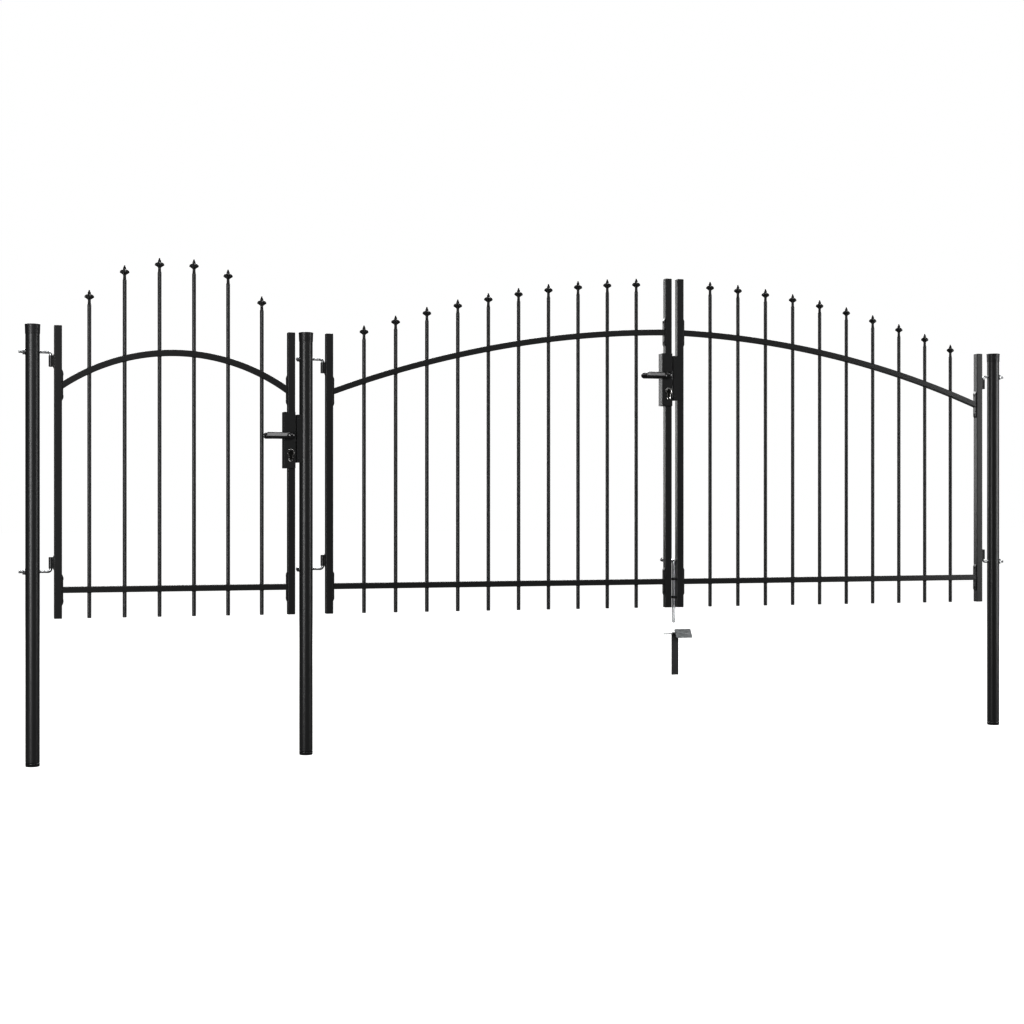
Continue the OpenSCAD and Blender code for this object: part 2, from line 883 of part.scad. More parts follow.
module stop_flap() {
    pin_left_x = stake_left_x - flap_pin_tail;
    color(flap_grey)
        translate([0, flap_pin_y, flap_pin_z]) {
            translate([pin_left_x, 0, 0])
                rotate([0, 90, 0])
                    cylinder(d = flap_pin_d, h = flap_left_x + flap_w - pin_left_x);
            rotate([flap_slope, 0, 0])
                translate([flap_left_x, -flap_l / 2, -flap_t / 2])
                    cube([flap_w, flap_l, flap_t]);
        }
}

post(left_post_x);  // left_post
post(0);  // middle_post
post(right_post_x);  // right_post
post_cap(left_post_x);  // left_post_cap
post_cap(0);  // middle_post_cap
post_cap(right_post_x);  // right_post_cap
hinge_bolts(walk_axis_x, 1, hinge_reach, outer_tail);  // walk_hinge_bolts
hinge_bolts(left_axis_x, 1, hinge_reach, middle_tail);  // left_hinge_bolts
hinge_bolts(right_axis_x, -1, right_reach, outer_tail);  // right_hinge_bolts
hinge_nuts(left_post_x, 1);  // walk_hinge_nuts
hinge_nuts(0, 1);  // left_hinge_nuts
hinge_nuts(right_post_x, -1);  // right_hinge_nuts
walk_keep();
stop_stake();
plain_stile(walk_hinge_x, stile_top_z);  // walk_hinge_stile
lock_stile(walk_latch_x, stile_top_z, walk_lock_z);  // walk_latch_stile
walk_panel();
finials(walk_tips);  // walk_finials
stile_caps([[walk_hinge_x, stile_top_z], [walk_latch_x, stile_top_z]]);  // walk_stile_caps
hinge_eyes(walk_axis_x, 1);  // walk_hinge_eyes
lock_case(walk_lock_x, walk_lock_z);  // walk_lock_case
key_plates(walk_lock_x, walk_lock_z);  // walk_key_plates
lock_cylinders(walk_lock_x, walk_lock_z);  // walk_lock_cylinders
plain_stile(left_hinge_x, stile_top_z);  // left_hinge_stile
lock_stile(left_meeting_x, meeting_top_z, drive_lock_z);  // left_meeting_stile
drive_panel();  // left_panel
finials(left_tips);  // left_finials
stile_caps([[left_hinge_x, stile_top_z], [left_meeting_x, meeting_top_z]]);  // left_stile_caps
hinge_eyes(left_axis_x, 1);  // left_hinge_eyes
lock_case(left_lock_x, drive_lock_z);  // left_lock_case
key_plates(left_lock_x, drive_lock_z);  // left_key_plates
lock_cylinders(left_lock_x, drive_lock_z);  // left_lock_cylinders
plain_stile(right_hinge_x, stile_top_z);  // right_hinge_stile
plain_stile(right_meeting_x, meeting_top_z);  // right_meeting_stile
across_drive() drive_panel();  // right_panel
across_drive() finials(left_tips);  // right_finials
stile_caps([[right_hinge_x, stile_top_z], [right_meeting_x, meeting_top_z]]);  // right_stile_caps
hinge_eyes(right_axis_x, -1);  // right_hinge_eyes
right_keep();
bolt_guides();
levers(walk_lock_x, walk_lock_z);  // walk_levers
levers(left_lock_x, drive_lock_z);  // left_levers
drop_bolt_rod();
drop_bolt_sleeve();
stop_flap();
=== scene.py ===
import bpy
import numpy as np
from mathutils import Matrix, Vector


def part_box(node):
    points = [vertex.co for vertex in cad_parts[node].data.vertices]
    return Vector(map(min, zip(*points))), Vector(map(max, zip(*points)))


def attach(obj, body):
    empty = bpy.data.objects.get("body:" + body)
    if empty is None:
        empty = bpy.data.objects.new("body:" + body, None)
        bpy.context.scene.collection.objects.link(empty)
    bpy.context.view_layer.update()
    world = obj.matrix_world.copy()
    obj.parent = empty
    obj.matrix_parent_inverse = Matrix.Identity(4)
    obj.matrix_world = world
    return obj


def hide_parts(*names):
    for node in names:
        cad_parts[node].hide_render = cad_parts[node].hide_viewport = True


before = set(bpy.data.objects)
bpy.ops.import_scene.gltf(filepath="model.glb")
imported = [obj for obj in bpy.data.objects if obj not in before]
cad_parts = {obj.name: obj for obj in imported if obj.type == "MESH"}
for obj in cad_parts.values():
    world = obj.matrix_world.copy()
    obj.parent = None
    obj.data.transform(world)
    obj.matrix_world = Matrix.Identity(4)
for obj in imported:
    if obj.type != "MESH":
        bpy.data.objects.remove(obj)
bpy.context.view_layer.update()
scene = bpy.context.scene
pi = np.pi
mm = 0.001
print("frame loaded:", len(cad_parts), "nodes")

# Shapes: a shape is its points in millimetres and its faces, grouped by number of corners.

tipRadius = 0.05  # where a turned profile closes on its axis
tiny = 1e-6  # keeps a divisor off zero
# ways to lay a shape's own x, y and z: its z along +x, along +y, or out of the front along -y
alongX = (0, 1, 0), (0, 0, 1), (1, 0, 0)
alongY = (1, 0, 0), (0, 0, -1), (0, 1, 0)
outFront = (1, 0, 0), (0, 0, 1), (0, -1, 0)


# angles from none to a quarter turn
def quarter(count):
    return np.linspace(0, pi / 2, count)


# angles evenly round a full turn
def fullTurn(count):
    return np.arange(count) * 2 * pi / count


# points round an axis: radius times the angle's cosine and sine, then the height if there is one
def polar(radius, angle, height=None):
    x, y = radius * np.cos(angle), radius * np.sin(angle)
    return np.stack([x, y] if height is None else [x, y, height + 0 * x], -1)


# closed skin over rings of points: each cell joins a point to the next column and the next row; columns
# always close, and the first and last rings are filled in unless the rows close too
def skin(grid, closeRows=False):
    rows, cols = grid.shape[:2]
    row, col = np.arange(rows if closeRows else rows - 1)[:, None], np.arange(cols)
    low, high, right = row * cols, (row + 1) % rows * cols, (col + 1) % cols
    faces = [np.stack([low + col, low + right, high + right, high + col], -1).reshape(-1, 4)]
    if not closeRows:
        faces.append(np.stack([col[::-1], col + (rows - 1) * cols]))
    return grid.reshape(-1, 3), faces


# skin over flat outlines, each at its height
def stacked(rows, closeRows=False):
    return skin(np.stack([np.c_[flat, np.full(len(flat), height)] for flat, height in rows]), closeRows)


# several shapes as one
def join(*shapes):
    points, faces, start = [], {}, 0
    for own, groups in shapes:
        for group in groups:
            faces.setdefault(group.shape[1], []).append(group + start)
        points.append(own)
        start += len(own)
    return np.concatenate(points), [np.concatenate(group) for group in faces.values()]


# the same shape at several places
def copies(shape, places):
    points, faces = shape
    places = np.asarray(places, float)
    step = np.arange(len(places))[:, None, None] * len(points)
    moved = (points[None] + places[:, None]).reshape(-1, 3)
    return moved, [(group[None] + step).reshape(-1, group.shape[1]) for group in faces]


# a shape's own axes laid along three directions, then moved; a mirrored one has its faces turned round
def laid(shape, x=(1, 0, 0), y=(0, 1, 0), z=(0, 0, 1), at=(0, 0, 0)):
    axes = np.array([x, y, z], float)
    faces = shape[1] if np.linalg.det(axes) > 0 else [group[:, ::-1] for group in shape[1]]
    return shape[0] @ axes + np.array(at, float), faces


# outward directions of an anticlockwise outline: each point's chord between its neighbours, turned a quarter
def outwards(points):
    chord = np.roll(points, -1, 0) - np.roll(points, 1, 0)
    normal = np.stack([chord[:, 1], -chord[:, 0]], -1)
    return normal / np.linalg.norm(normal, axis=1, keepdims=True)


# polygon with rounded corners: each corner is an arc that touches both of its sides
def rounded(corners, radius):
    corner = np.asarray(corners, float)
    radius = np.broadcast_to(np.asarray(radius, float), len(corner))
    into = corner - np.roll(corner, 1, 0)
    into /= np.linalg.norm(into, axis=1, keepdims=True)
    away = np.roll(into, -1, 0)
    turn = np.arctan2(into[:, 0] * away[:, 1] - into[:, 1] * away[:, 0], (into * away).sum(1))
    bend = np.sign(turn)
    start = corner - into * (radius * np.tan(abs(turn) / 2))[:, None]
    left = np.stack([-into[:, 1], into[:, 0]], -1)
    centre = start + left * (bend * radius)[:, None]
    first = np.arctan2(start[:, 1] - centre[:, 1], start[:, 0] - centre[:, 0])
    ray = polar(1, first[:, None] + turn[:, None] * np.linspace(0, 1, 6))
    points = centre[:, None] + radius[:, None, None] * ray
    return points.reshape(-1, 2), (bend[:, None, None] * ray).reshape(-1, 2)


# rectangle about a middle point
def rectangle(width, height, middle=(0, 0)):
    x, y = width / 2, height / 2
    return np.array([(-x, -y), (x, -y), (x, y), (-x, y)], float) + np.array(middle, float)


# outline of a square with rounded corners
def softSquare(side, corner):
    return rounded(rectangle(side, side), corner)


# round outline: its points and its outward directions
def disc(radius, cols):
    return polar(radius, fullTurn(cols)), polar(1.0, fullTurn(cols))


# outline carried up its own axis: each layer is the outline moved out by grow, at a height
def layered(outline, layers):
    points, normals = outline
    grow, height = np.asarray(layers, float).T
    flat = points[None] + grow[:, None, None] * normals[None]
    up = np.broadcast_to(height[:, None, None], flat.shape[:2] + (1,))
    return skin(np.concatenate([flat, up], -1))


# layers of a slab whose two rims are quarter rounds
def slab(low, high, rim, steps=4):
    angle = quarter(steps + 1)
    lower = np.c_[rim * (np.sin(angle) - 1), low + rim * (1 - np.cos(angle))]
    upper = np.c_[rim * (np.cos(angle) - 1), high - rim * (1 - np.sin(angle))]
    return np.concatenate([lower, upper])


# profile of (radius, height) turned round z; a closed profile makes a ring
def lathe(profile, cols, closed=False):
    radius, height = np.asarray(profile, float).T[:, :, None]
    return skin(polar(radius, fullTurn(cols), height), closed)


# bush: a turned ring between a bore and an outer radius, with its edges broken
def bush(bore, outer, low, high, boreEdge, outerEdge, cols):
    inside, outside = bore + boreEdge, outer - outerEdge
    lower = [(bore, low + boreEdge), (inside, low), (outside, low), (outer, low + outerEdge)]
    upper = [(outer, high - outerEdge), (outside, high), (inside, high), (bore, high - boreEdge)]
    return lathe(lower + upper, cols, True)


# section carried along a path: its first axis is up x along, its second is square to both
def sweep(path, section, up):
    along = np.gradient(path, axis=0)
    along /= np.linalg.norm(along, axis=1, keepdims=True)
    side = np.cross(np.asarray(up, float), along)
    side /= np.linalg.norm(side, axis=1, keepdims=True)
    rise = np.cross(along, side)
    u, v = section[..., 0:1], section[..., 1:2]
    return skin(path[:, None] + u * side[:, None] + v * rise[:, None])


# mesh from a shape, smooth up to the sharp angle, riding on a body and standing for its nodes
def makePiece(name, shape, look, body, nodes=(), sharp=32, flats=True):
    points, faces = shape
    material, slot = look
    mesh = bpy.data.meshes.new(name)
    mesh.from_pydata((points * mm).tolist(), [], [face for group in faces for face in group.tolist()])
    mesh.polygons.foreach_set("use_smooth", np.ones(len(mesh.polygons), bool))
    mesh.set_sharp_from_angle(angle=np.radians(sharp))
    mesh.materials.append(material)
    piece = bpy.data.objects.new(name, mesh)
    scene.collection.objects.link(piece)
    if flats:
        weighted = piece.modifiers.new("flat faces lead", "WEIGHTED_NORMAL")
        weighted.keep_sharp = True
    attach(piece, body)
    if nodes:
        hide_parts(*nodes)


# Finishes: a finish is a material and the record's slot for it.


# a shader socket in a sum: operators on values add Math nodes
class Wire:
    def __init__(self, tree, socket=None):
        self.tree = tree
        self.socket = socket

    # any node: its type, its settings, then the values or wires of its inputs
    def node(self, kind, settings={}, inputs={}, out=0):
        made = self.tree.nodes.new(kind)
        for name, value in settings.items():
            setattr(made, name, value)
        for name, value in inputs.items():
            if isinstance(value, Wire):
                self.tree.links.new(value.socket, made.inputs[name])
            else:
                made.inputs[name].default_value = value
        return Wire(self.tree, made.outputs[out])

    def math(self, operation, first, second):
        return self.node("ShaderNodeMath", {"operation": operation}, {0: first, 1: second})

    def __add__(self, other):
        return self.math("ADD", self, other)

    def __mul__(self, other):
        return self.math("MULTIPLY", self, other)

    __radd__, __rmul__ = __add__, __mul__  # the same either way round


# soft noise of about so many grains a metre
def grain(place, perMetre, detail=2.0, roughness=0.5):
    inputs = {"Vector": place, "Scale": perMetre, "Detail": detail, "Roughness": roughness}
    return place.node("ShaderNodeTexNoise", {}, inputs)


# the place stretched: lengths along each axis are multiplied
def stretched(place, scale):
    return place.node("ShaderNodeMapping", {}, {"Vector": place, "Scale": scale})


# colour from one to the other
def between(factor, first, second):
    inputs = {0: factor, 6: (*first, 1.0), 7: (*second, 1.0)}
    return factor.node("ShaderNodeMix", {"data_type": "RGBA"}, inputs, 2)


# surface relief in metres
def relief(height, depth, strength):
    return height.node("ShaderNodeBump", {}, {"Height": height, "Distance": depth, "Strength": strength})


# a finish: fixed numbers on the shader's own sockets, then what changes over the surface
def finish(name, slot, fixed, varying):
    material = bpy.data.materials.new(name)
    material.use_nodes = True
    tree = material.node_tree
    shader = tree.nodes["Principled BSDF"]
    for socket, value in fixed.items():
        shader.inputs[socket].default_value = value
    place = Wire(tree).node("ShaderNodeTexCoord", {}, {}, "Object")
    for socket, wire in varying(place).items():
        tree.links.new(wire.socket, shader.inputs[socket])
    return material, slot


# sockets of a surface: colour from dark to light by a mix, roughness over the tone's own, and relief
def sockets(tone, mix, rough, bump):
    return {
        "Base Color": between(mix, tone["dark"], tone["light"]),
        "Roughness": rough + tone["rough"],
        "Normal": relief(bump, *tone["relief"]),
    }


# the same surface in another tone: its colour goes from dark to light by a noise of the tone's own
def toned(surface, tone):
    def inTone(place):
        colour = between(grain(place, *tone["grain"]), tone["dark"], tone["light"])
        return {**surface(place), "Base Color": colour}
    return inTone


coat = {
    "dark": (0.0185, 0.0189, 0.0191), "light": (0.0245, 0.0250, 0.0254), "rough": 0.31,
    "cloud": 5, "speck": 2600, "peel": 700, "relief": (0.000012, 0.4),
}
stakeCoat = {"dark": (0.050, 0.051, 0.052), "light": (0.066, 0.067, 0.068), "grain": (34, 4, 0.6)}  # the stake's tone: a lighter grey than the coat, with a coarser mottle
coatPaintedShade = {"dark": (0.0070, 0.0072, 0.0074), "light": (0.0110, 0.0112, 0.0114), "grain": (90, 3)}  # painted shade: a darker copy of the coat for the finials and the stop's eye


# powder coat: slow clouds in the colour, a fine orange-peel relief and roughness that follows both
def coatSurface(place):
    cloud = grain(place, coat["cloud"], 4)
    peel = grain(place, coat["peel"], 2)
    speck = grain(place, coat["speck"], 1)
    return sockets(coat, cloud * 0.8 + speck * 0.3, cloud * 0.05 + peel * 0.06, peel)


moulded = {
    "dark": (0.0150, 0.0151, 0.0155), "light": (0.0220, 0.0220, 0.0226), "rough": 0.34,
    "cloud": 9, "spark": 1500, "relief": (0.00006, 0.5),
}


# moulded plastic: a fine spark-eroded grain
def mouldedSurface(place):
    cloud = grain(place, moulded["cloud"], 3)
    spark = grain(place, moulded["spark"], 3, 0.65)
    return sockets(moulded, cloud, spark * 0.16, spark)


gloss = {
    "dark": (0.0100, 0.0100, 0.0104), "light": (0.0150, 0.0150, 0.0155), "rough": 0.11,
    "cloud": 22, "marks": (40, 40, 260), "relief": (0.00002, 0.3),
}


# polished plastic of the levers: faint hand marks in the roughness
def glossSurface(place):
    cloud = grain(place, gloss["cloud"], 3)
    marks = grain(stretched(place, gloss["marks"]), 1, 3)
    return sockets(gloss, cloud, cloud * 0.10 + marks * 0.06, marks)


zinc = {
    "dark": (0.52, 0.53, 0.54), "light": (0.66, 0.67, 0.68), "rough": 0.19,
    "patch": 60, "fine": 900, "relief": (0.000006, 0.3),
}
zincPaintedShade = {"dark": (0.27, 0.275, 0.28), "light": (0.40, 0.405, 0.41), "grain": (110, 3)}  # painted shade: a darker copy of the zinc for the hinge bolts and nuts


# zinc plating: a mottled grey with cloudy patches of duller metal and a fine grain
def zincSurface(place):
    patch = grain(place, zinc["patch"], 4, 0.6)
    fine = grain(place, zinc["fine"], 2)
    return sockets(zinc, patch * 0.8 + fine * 0.2, patch * 0.14 + fine * 0.08, fine)


nickel = {
    "dark": (0.60, 0.595, 0.585), "light": (0.74, 0.735, 0.725), "rough": 0.16,
    "brush": (2600, 2600, 60), "patch": 120, "relief": (0.000004, 0.3),
}
nickelPaintedShade = {"dark": (0.10, 0.098, 0.094), "light": (0.17, 0.166, 0.160), "grain": (160, 3)}  # painted shade: a darker copy of the nickel for the lock cylinders sunk in their key plates


# satin nickel: upright brushing lines
def nickelSurface(place):
    brush = grain(stretched(place, nickel["brush"]), 1, 3, 0.6)
    patch = grain(place, nickel["patch"], 2)
    return sockets(nickel, brush * 0.5 + patch * 0.5, brush * 0.10, brush)


flapSteel = {
    "dark": (0.29, 0.30, 0.305), "light": (0.37, 0.38, 0.385), "rough": 0.34,
    "spangle": 140, "film": 45, "relief": (0.00008, 0.4),
}


# galvanised sheet: spangles of unlike greys under a dull film
def flapSurface(place):
    cell = place.node("ShaderNodeTexVoronoi", {}, {"Vector": place, "Scale": flapSteel["spangle"]}, "Color")
    shade = cell.node("ShaderNodeSeparateColor", {}, {"Color": cell}, 0)
    film = grain(place, flapSteel["film"], 4, 0.6)
    return sockets(flapSteel, shade * 0.55 + film * 0.45, shade * 0.12 + film * 0.12, film)


specular = "Specular IOR Level"
bare = {"Metallic": 1.0}
coatFinish = finish("blackPowderCoat", "coat", {specular: 0.5}, coatSurface)
stakeFinish = finish("greyPowderCoat", "coat", {specular: 0.5}, toned(coatSurface, stakeCoat))
spearFinish = finish("powderCoatWithPaintedShade", "coat", {specular: 0.4}, toned(coatSurface, coatPaintedShade))
plasticFinish = finish("blackMouldedPlastic", "plastic", {specular: 0.45}, mouldedSurface)
handleFinish = finish("glossBlackPlastic", "handle_plastic", {specular: 0.85}, glossSurface)
zincFinish = finish("zincPlate", "zinc", bare, zincSurface)
hingeFinish = finish("zincPlateWithPaintedShade", "zinc", bare, toned(zincSurface, zincPaintedShade))
nickelFinish = finish("satinNickel", "nickel", bare, nickelSurface)
cylinderFinish = finish("nickelWithPaintedShade", "nickel", bare, toned(nickelSurface, nickelPaintedShade))
flapFinish = finish("galvanisedSheet", "flap_steel", {"Metallic": 0.9}, flapSurface)
print("finishes made")

# Posts

postSizes = {
    "radius": 25.0, "top": 1590.0, "rim": 1.5, "groove": 1.5, "wallLow": 60.0,
    "x": {"left": -1000.0, "middle": 0.0, "right": 3000.0},
}
plugSizes = {"height": 12.0, "bead": (1.7, 2.2), "beadIn": 1.2, "spigotIn": 1.4, "spigot": 2.4}
capSizes = {
    "bore": 25.1, "lower": 26.0, "upper": 26.9, "rim": 27.5, "rimHeight": 3.0, "low": 1566.0, "top": 1600.0,
    "round": 1.1, "dish": 23.5, "dishDeep": 0.75,
}


# round tube: straight wall over a quarter-round edge just above the foot plug
def postTube():
    p, angle = postSizes, quarter(6)
    r, rim, low = p["radius"], p["rim"], plugSizes["height"] + p["groove"]
    foot = np.c_[r - rim + rim * np.sin(angle), low + rim - rim * np.cos(angle)]
    wall = np.c_[np.full(14, r), np.linspace(p["wallLow"], p["top"], 14)]
    return lathe(np.concatenate([foot, wall]), 72)


# cap: a skirt that widens upwards, a proud rim with a quarter-round edge and a shallow dish
def postCap():
    c, angle = capSizes, quarter(6)
    bore, lower, upper, wide = c["bore"], c["lower"], c["upper"], c["rim"]
    low, top, soft = c["low"], c["top"], c["round"]
    step, floor = top - c["rimHeight"], top - c["dishDeep"]
    skirt = [(bore, low + 1), (bore + 0.2, low), (lower - 0.3, low), (lower, low + 0.4),
             (upper, step - 0.7), (upper, step), (wide - 0.2, step), (wide, step + 0.3)]
    edge = np.c_[wide - soft + soft * np.cos(angle), top - soft + soft * np.sin(angle)]
    dish = [(c["dish"], top), (c["dish"] - 0.9, top - 0.7), (12.0, floor), (tipRadius, floor)]
    return lathe(np.concatenate([skirt, edge, dish]), 72)


# foot plug: a shallow cup closed below, with a round bead under the groove against the tube
def footPlug():
    p, r, high = plugSizes, postSizes["radius"], plugSizes["height"]
    turn = np.linspace(-0.5, 0.5, 9) * pi
    wide, tall = p["bead"]
    bead = np.c_[r - p["beadIn"] + wide * np.cos(turn), high - tall + tall * np.sin(turn)]
    foot = [(tipRadius, 0), (r - 1.6, 0), (r - 0.5, 0.5), (r - 0.1, 1.6), (r - 0.1, high - 4.6)]
    neck, top = r - p["spigotIn"], high + p["spigot"]
    return lathe(np.concatenate([foot, bead, [(neck, high), (neck, top), (tipRadius, top)]]), 72)


for name, x in postSizes["x"].items():
    at = (x, 0, 0)
    makePiece(name + "Post", laid(postTube(), at=at), coatFinish, "posts", [name + "_post"])
    makePiece(name + "PostCap", laid(postCap(), at=at), plasticFinish, "posts", [name + "_post_cap"])
    makePiece(name + "FootPlug", laid(footPlug(), at=at), handleFinish, "posts")
print("posts made")

# Leaves: places of the hinge stile, the free stile, the hinge axis and the post, which way the leaf runs,
# and how far the hinge bolts stand out behind the post

leaves = {
    "walk": {"hinge": -911.0, "free": -57.0, "freeTop": 1598.0, "freeNode": "walk_latch_stile",
             "axis": -935.5, "post": -1000.0, "way": 1, "tail": 24.0},
    "left": {"hinge": 89.0, "free": 1481.0, "freeTop": 1863.0, "freeNode": "left_meeting_stile",
             "axis": 64.5, "post": 0.0, "way": 1, "tail": 12.5},
    "right": {"hinge": 2925.0, "free": 1533.0, "freeTop": 1863.0, "freeNode": "right_meeting_stile",
              "axis": 2949.5, "post": 3000.0, "way": -1, "tail": 24.0},
}
stileSizes = {
    "side": 27.0, "corner": 2.2, "foot": 533.0, "hingeTop": 1598.0,
    "cap": 3.0, "capRim": 1.1, "seam": 0.25, "seamIn": 1.2, "crown": 0.25, "crownIn": 3.9,
}


# square tube: its outline carried straight up between the end caps
def stileTube(top):
    s = stileSizes
    return layered(softSquare(s["side"], s["corner"]), [(0, s["foot"] + s["cap"]), (0, top - s["cap"])])


# end cap: a rounded square with a soft rim on its outer face and a shadow line against the tube
def stileCap():
    s = stileSizes
    soft = slab(s["seam"], s["cap"], s["capRim"])[5:]  # the upper rim only
    seam = [(-s["seamIn"], -0.4), (-s["seamIn"], s["seam"]), (-0.1, s["seam"])]
    layers = np.concatenate([seam, soft, [(-s["crownIn"], s["cap"] + s["crown"])]])
    return layered(softSquare(s["side"], s["corner"]), layers)


for name, leaf in leaves.items():
    body, caps, s = name + "_leaf", [], stileSizes
    stiles = {"hinge": (s["hingeTop"], name + "_hinge_stile"), "free": (leaf["freeTop"], leaf["freeNode"])}
    for part, (top, node) in stiles.items():
        x = leaf[part]
        tube = laid(stileTube(top), at=(x, 0, 0))
        makePiece(name + part.capitalize() + "Stile", tube, coatFinish, body, [node])
        caps.append(laid(stileCap(), at=(x, 0, top - s["cap"])))
        caps.append(laid(stileCap(), z=(0, 0, -1), at=(x, 0, s["foot"] + s["cap"])))
    makePiece(name + "StileCaps", join(*caps), plasticFinish, body, [name + "_stile_caps"])
print("stiles made")

# Panels

panelSizes = {
    "rail": 22.0, "railCorner": 2.0, "railZ": 637.0, "bar": 6.85, "barEdge": 1.2, "foot": 533.0,
    "plate": 116.0, "plateT": 4.5, "plateW": 19.0, "chamfer": 10.0, "weld": 1.5, "lumps": 9, "lump": 0.16,
}
walkArch = {
    "radius": 723.0, "ends": (1381.4, 1381.4), "bars": 6, "margin": 111.0,
    "crown": 1861.0, "drop": 130.0, "power": 2.6, "rows": 96,
}
driveArch = {
    "radius": 4175.0, "ends": (1379.2, 1646.0), "bars": 10, "margin": 136.0,
    "crown": 1862.0, "drop": 228.0, "power": 2.0, "rows": 64,
}
driveMid = 1507.0  # middle of the drive gate


# centre of the circle of the given radius over two points, below their chord
def arcCentre(a, b, radius):
    chord = b - a
    half = np.linalg.norm(chord) / 2
    fall = np.sqrt(radius ** 2 - half ** 2)
    return (a + b) / 2 + fall * np.array([chord[1], -chord[0]]) / (2 * half)


# arched rail: each line of the section is an arc of the rail's radius plus its own height, cut at the same x
def archRail(a, b, centre, radius, rows):
    section = softSquare(panelSizes["rail"], panelSizes["railCorner"])[0]
    reach = radius + section[:, 1]
    first, last = (np.arccos((end[0] - centre[0]) / reach) for end in (a, b))
    angle = first + (last - first) * np.linspace(0, 1, rows)[:, None]
    across = section[:, 0] + 0 * angle
    return skin(np.stack([centre[0] + reach * np.cos(angle), across, centre[1] + reach * np.sin(angle)], -1))


# weld bead round a bar: a ring on a rail's face, a little lumpy, whose height follows that face
def weldRing(x, face, rise):
    p, around, about = panelSizes, fullTurn(28), fullTurn(8)[:, None]
    bead = p["weld"] * (1 + p["lump"] * np.sin(p["lumps"] * around + x))
    out = p["bar"] + bead * np.cos(about)
    height = face(x + p["bar"] * np.cos(around), rise) + bead * np.sin(about)
    return skin(np.stack([x + out * np.cos(around), out * np.sin(around), height], -1), True)


# bolted plate at a rail's end: a strip with sloped ends and soft rims
def endPlate(x, z, way):
    h, t, c = panelSizes["plate"] / 2, panelSizes["plateT"], panelSizes["chamfer"]
    outline = rounded([(0, -h), (t, c - h), (t, h - c), (0, h)], [0.4, 2, 2, 0.4])
    half = panelSizes["plateW"] / 2
    return laid(layered(outline, slab(-half, half, 0.3)), (way, 0, 0), (0, 0, 1), (0, -1, 0), (x, 0, z))


# plain bar with a chamfered foot
def bar(x, top):
    r, foot, edge = panelSizes["bar"], panelSizes["foot"], panelSizes["barEdge"]
    wall = np.c_[np.full(9, r), np.linspace(foot + edge, top, 9)]
    return laid(lathe(np.concatenate([[(r - edge, foot)], wall]), 28), at=(x, 0, 0))


# bar places and tip heights: the tips fall from the crown by a power of the share of the outer bar's distance
def barTips(arch, left, right, mid):
    x = np.linspace(left + arch["margin"] - mid, right - arch["margin"] - mid, arch["bars"])
    share = abs(x) / abs(x[0])
    return mid + x, arch["crown"] - arch["drop"] * share ** arch["power"]


# one leaf's rails, plates, bars and welds; a rail's face lies half a section above or below its middle line
def panel(left, right, arch, xs, tips):
    p, radius = panelSizes, arch["radius"]
    faceL, faceR = left + stileSizes["side"] / 2, right - stileSizes["side"] / 2
    a = np.array([faceL + p["plateT"] / 2, arch["ends"][0]])
    b = np.array([faceR - p["plateT"] / 2, arch["ends"][1]])
    centre = arcCentre(a, b, radius)
    bottom = layered(softSquare(p["rail"], p["railCorner"]), [(0, a[0]), (0, b[0])])
    bottom = laid(bottom, *alongX, (0, 0, p["railZ"]))
    shapes = [bottom, archRail(a, b, centre, radius, arch["rows"])]
    shapes += [endPlate(faceL, z, 1) for z in (p["railZ"], a[1])]
    shapes += [endPlate(faceR, z, -1) for z in (p["railZ"], b[1])]
    half = p["rail"] / 2

    def archFace(x, rise):
        return centre[1] + np.sqrt((radius + rise) ** 2 - (x - centre[0]) ** 2)

    def flatFace(x, rise):
        return p["railZ"] + rise + 0 * x

    for x, tip in zip(xs, tips):
        shapes.append(bar(x, tip - finialSizes["height"] + 1))
        shapes += [weldRing(x, face, rise) for face in (archFace, flatFace) for rise in (half, -half)]
    return join(*shapes)


finialSizes = {
    "height": 54.0, "neck": 5.0, "neckZ": 15.0, "rim": (26.9, 29.9), "top": 39.0, "reach": 17.0, "root": 2.5,
    "swell": 1.6, "spear": 5.6, "spearZ": (34.0, 42.0), "point": 1.7, "sharpness": 3.6, "crowding": 0.18,
}


# finial: at each height the radius is the turned core plus the petals' reach times a lobe of the angle;
# the core is a waisted neck that takes up the bar's radius, then a spear that closes by a power of the height
def finial():
    f = finialSizes
    neckZ, (low, high), top, tall = f["neckZ"], f["rim"], f["top"], f["height"]
    spearLow, spearHigh = f["spearZ"]
    dome = high + (top - high) * np.sin(quarter(10))
    tip = spearHigh + (tall - spearHigh) * np.sin(quarter(12))
    even = [np.linspace(0, neckZ, 9), np.linspace(neckZ, low, 14), np.linspace(low, high, 6)]
    z = np.unique(np.concatenate([*even, dome, tip]))
    waist = 1 - np.sqrt(1 - np.clip(1 - z / neckZ, 0, 1) ** 2)
    core = f["neck"] + (panelSizes["bar"] - f["neck"]) * waist
    core = np.where(z > spearLow, np.interp(z, f["spearZ"], [f["neck"], f["spear"]]), core)
    close = np.clip((z - spearHigh) / (tall - spearHigh), 0, 1)
    core = core * np.maximum(1 - close ** f["point"], 0.05)
    rise = np.clip((z - neckZ) / (low - neckZ), 0, 1)
    fall = np.clip((z - high) / (top - high), 0, 1)
    reach = f["root"] + (f["reach"] - f["root"]) * rise ** f["swell"] * np.sqrt(1 - fall ** 2)
    u = fullTurn(56)
    angle = u - f["crowding"] * np.sin(4 * u)  # more points where the petals are
    lobe = abs(np.cos(2 * angle)) ** f["sharpness"]
    radius = core[:, None] + np.clip(reach - core, 0, None)[:, None] * lobe
    return skin(polar(radius, angle, z[:, None]))


plateScrew = {
    "out": 41.0, "radius": 6.0, "height": 1.3, "round": 2.0, "base": 0.2, "socket": 3.0, "floor": 0.05,
}


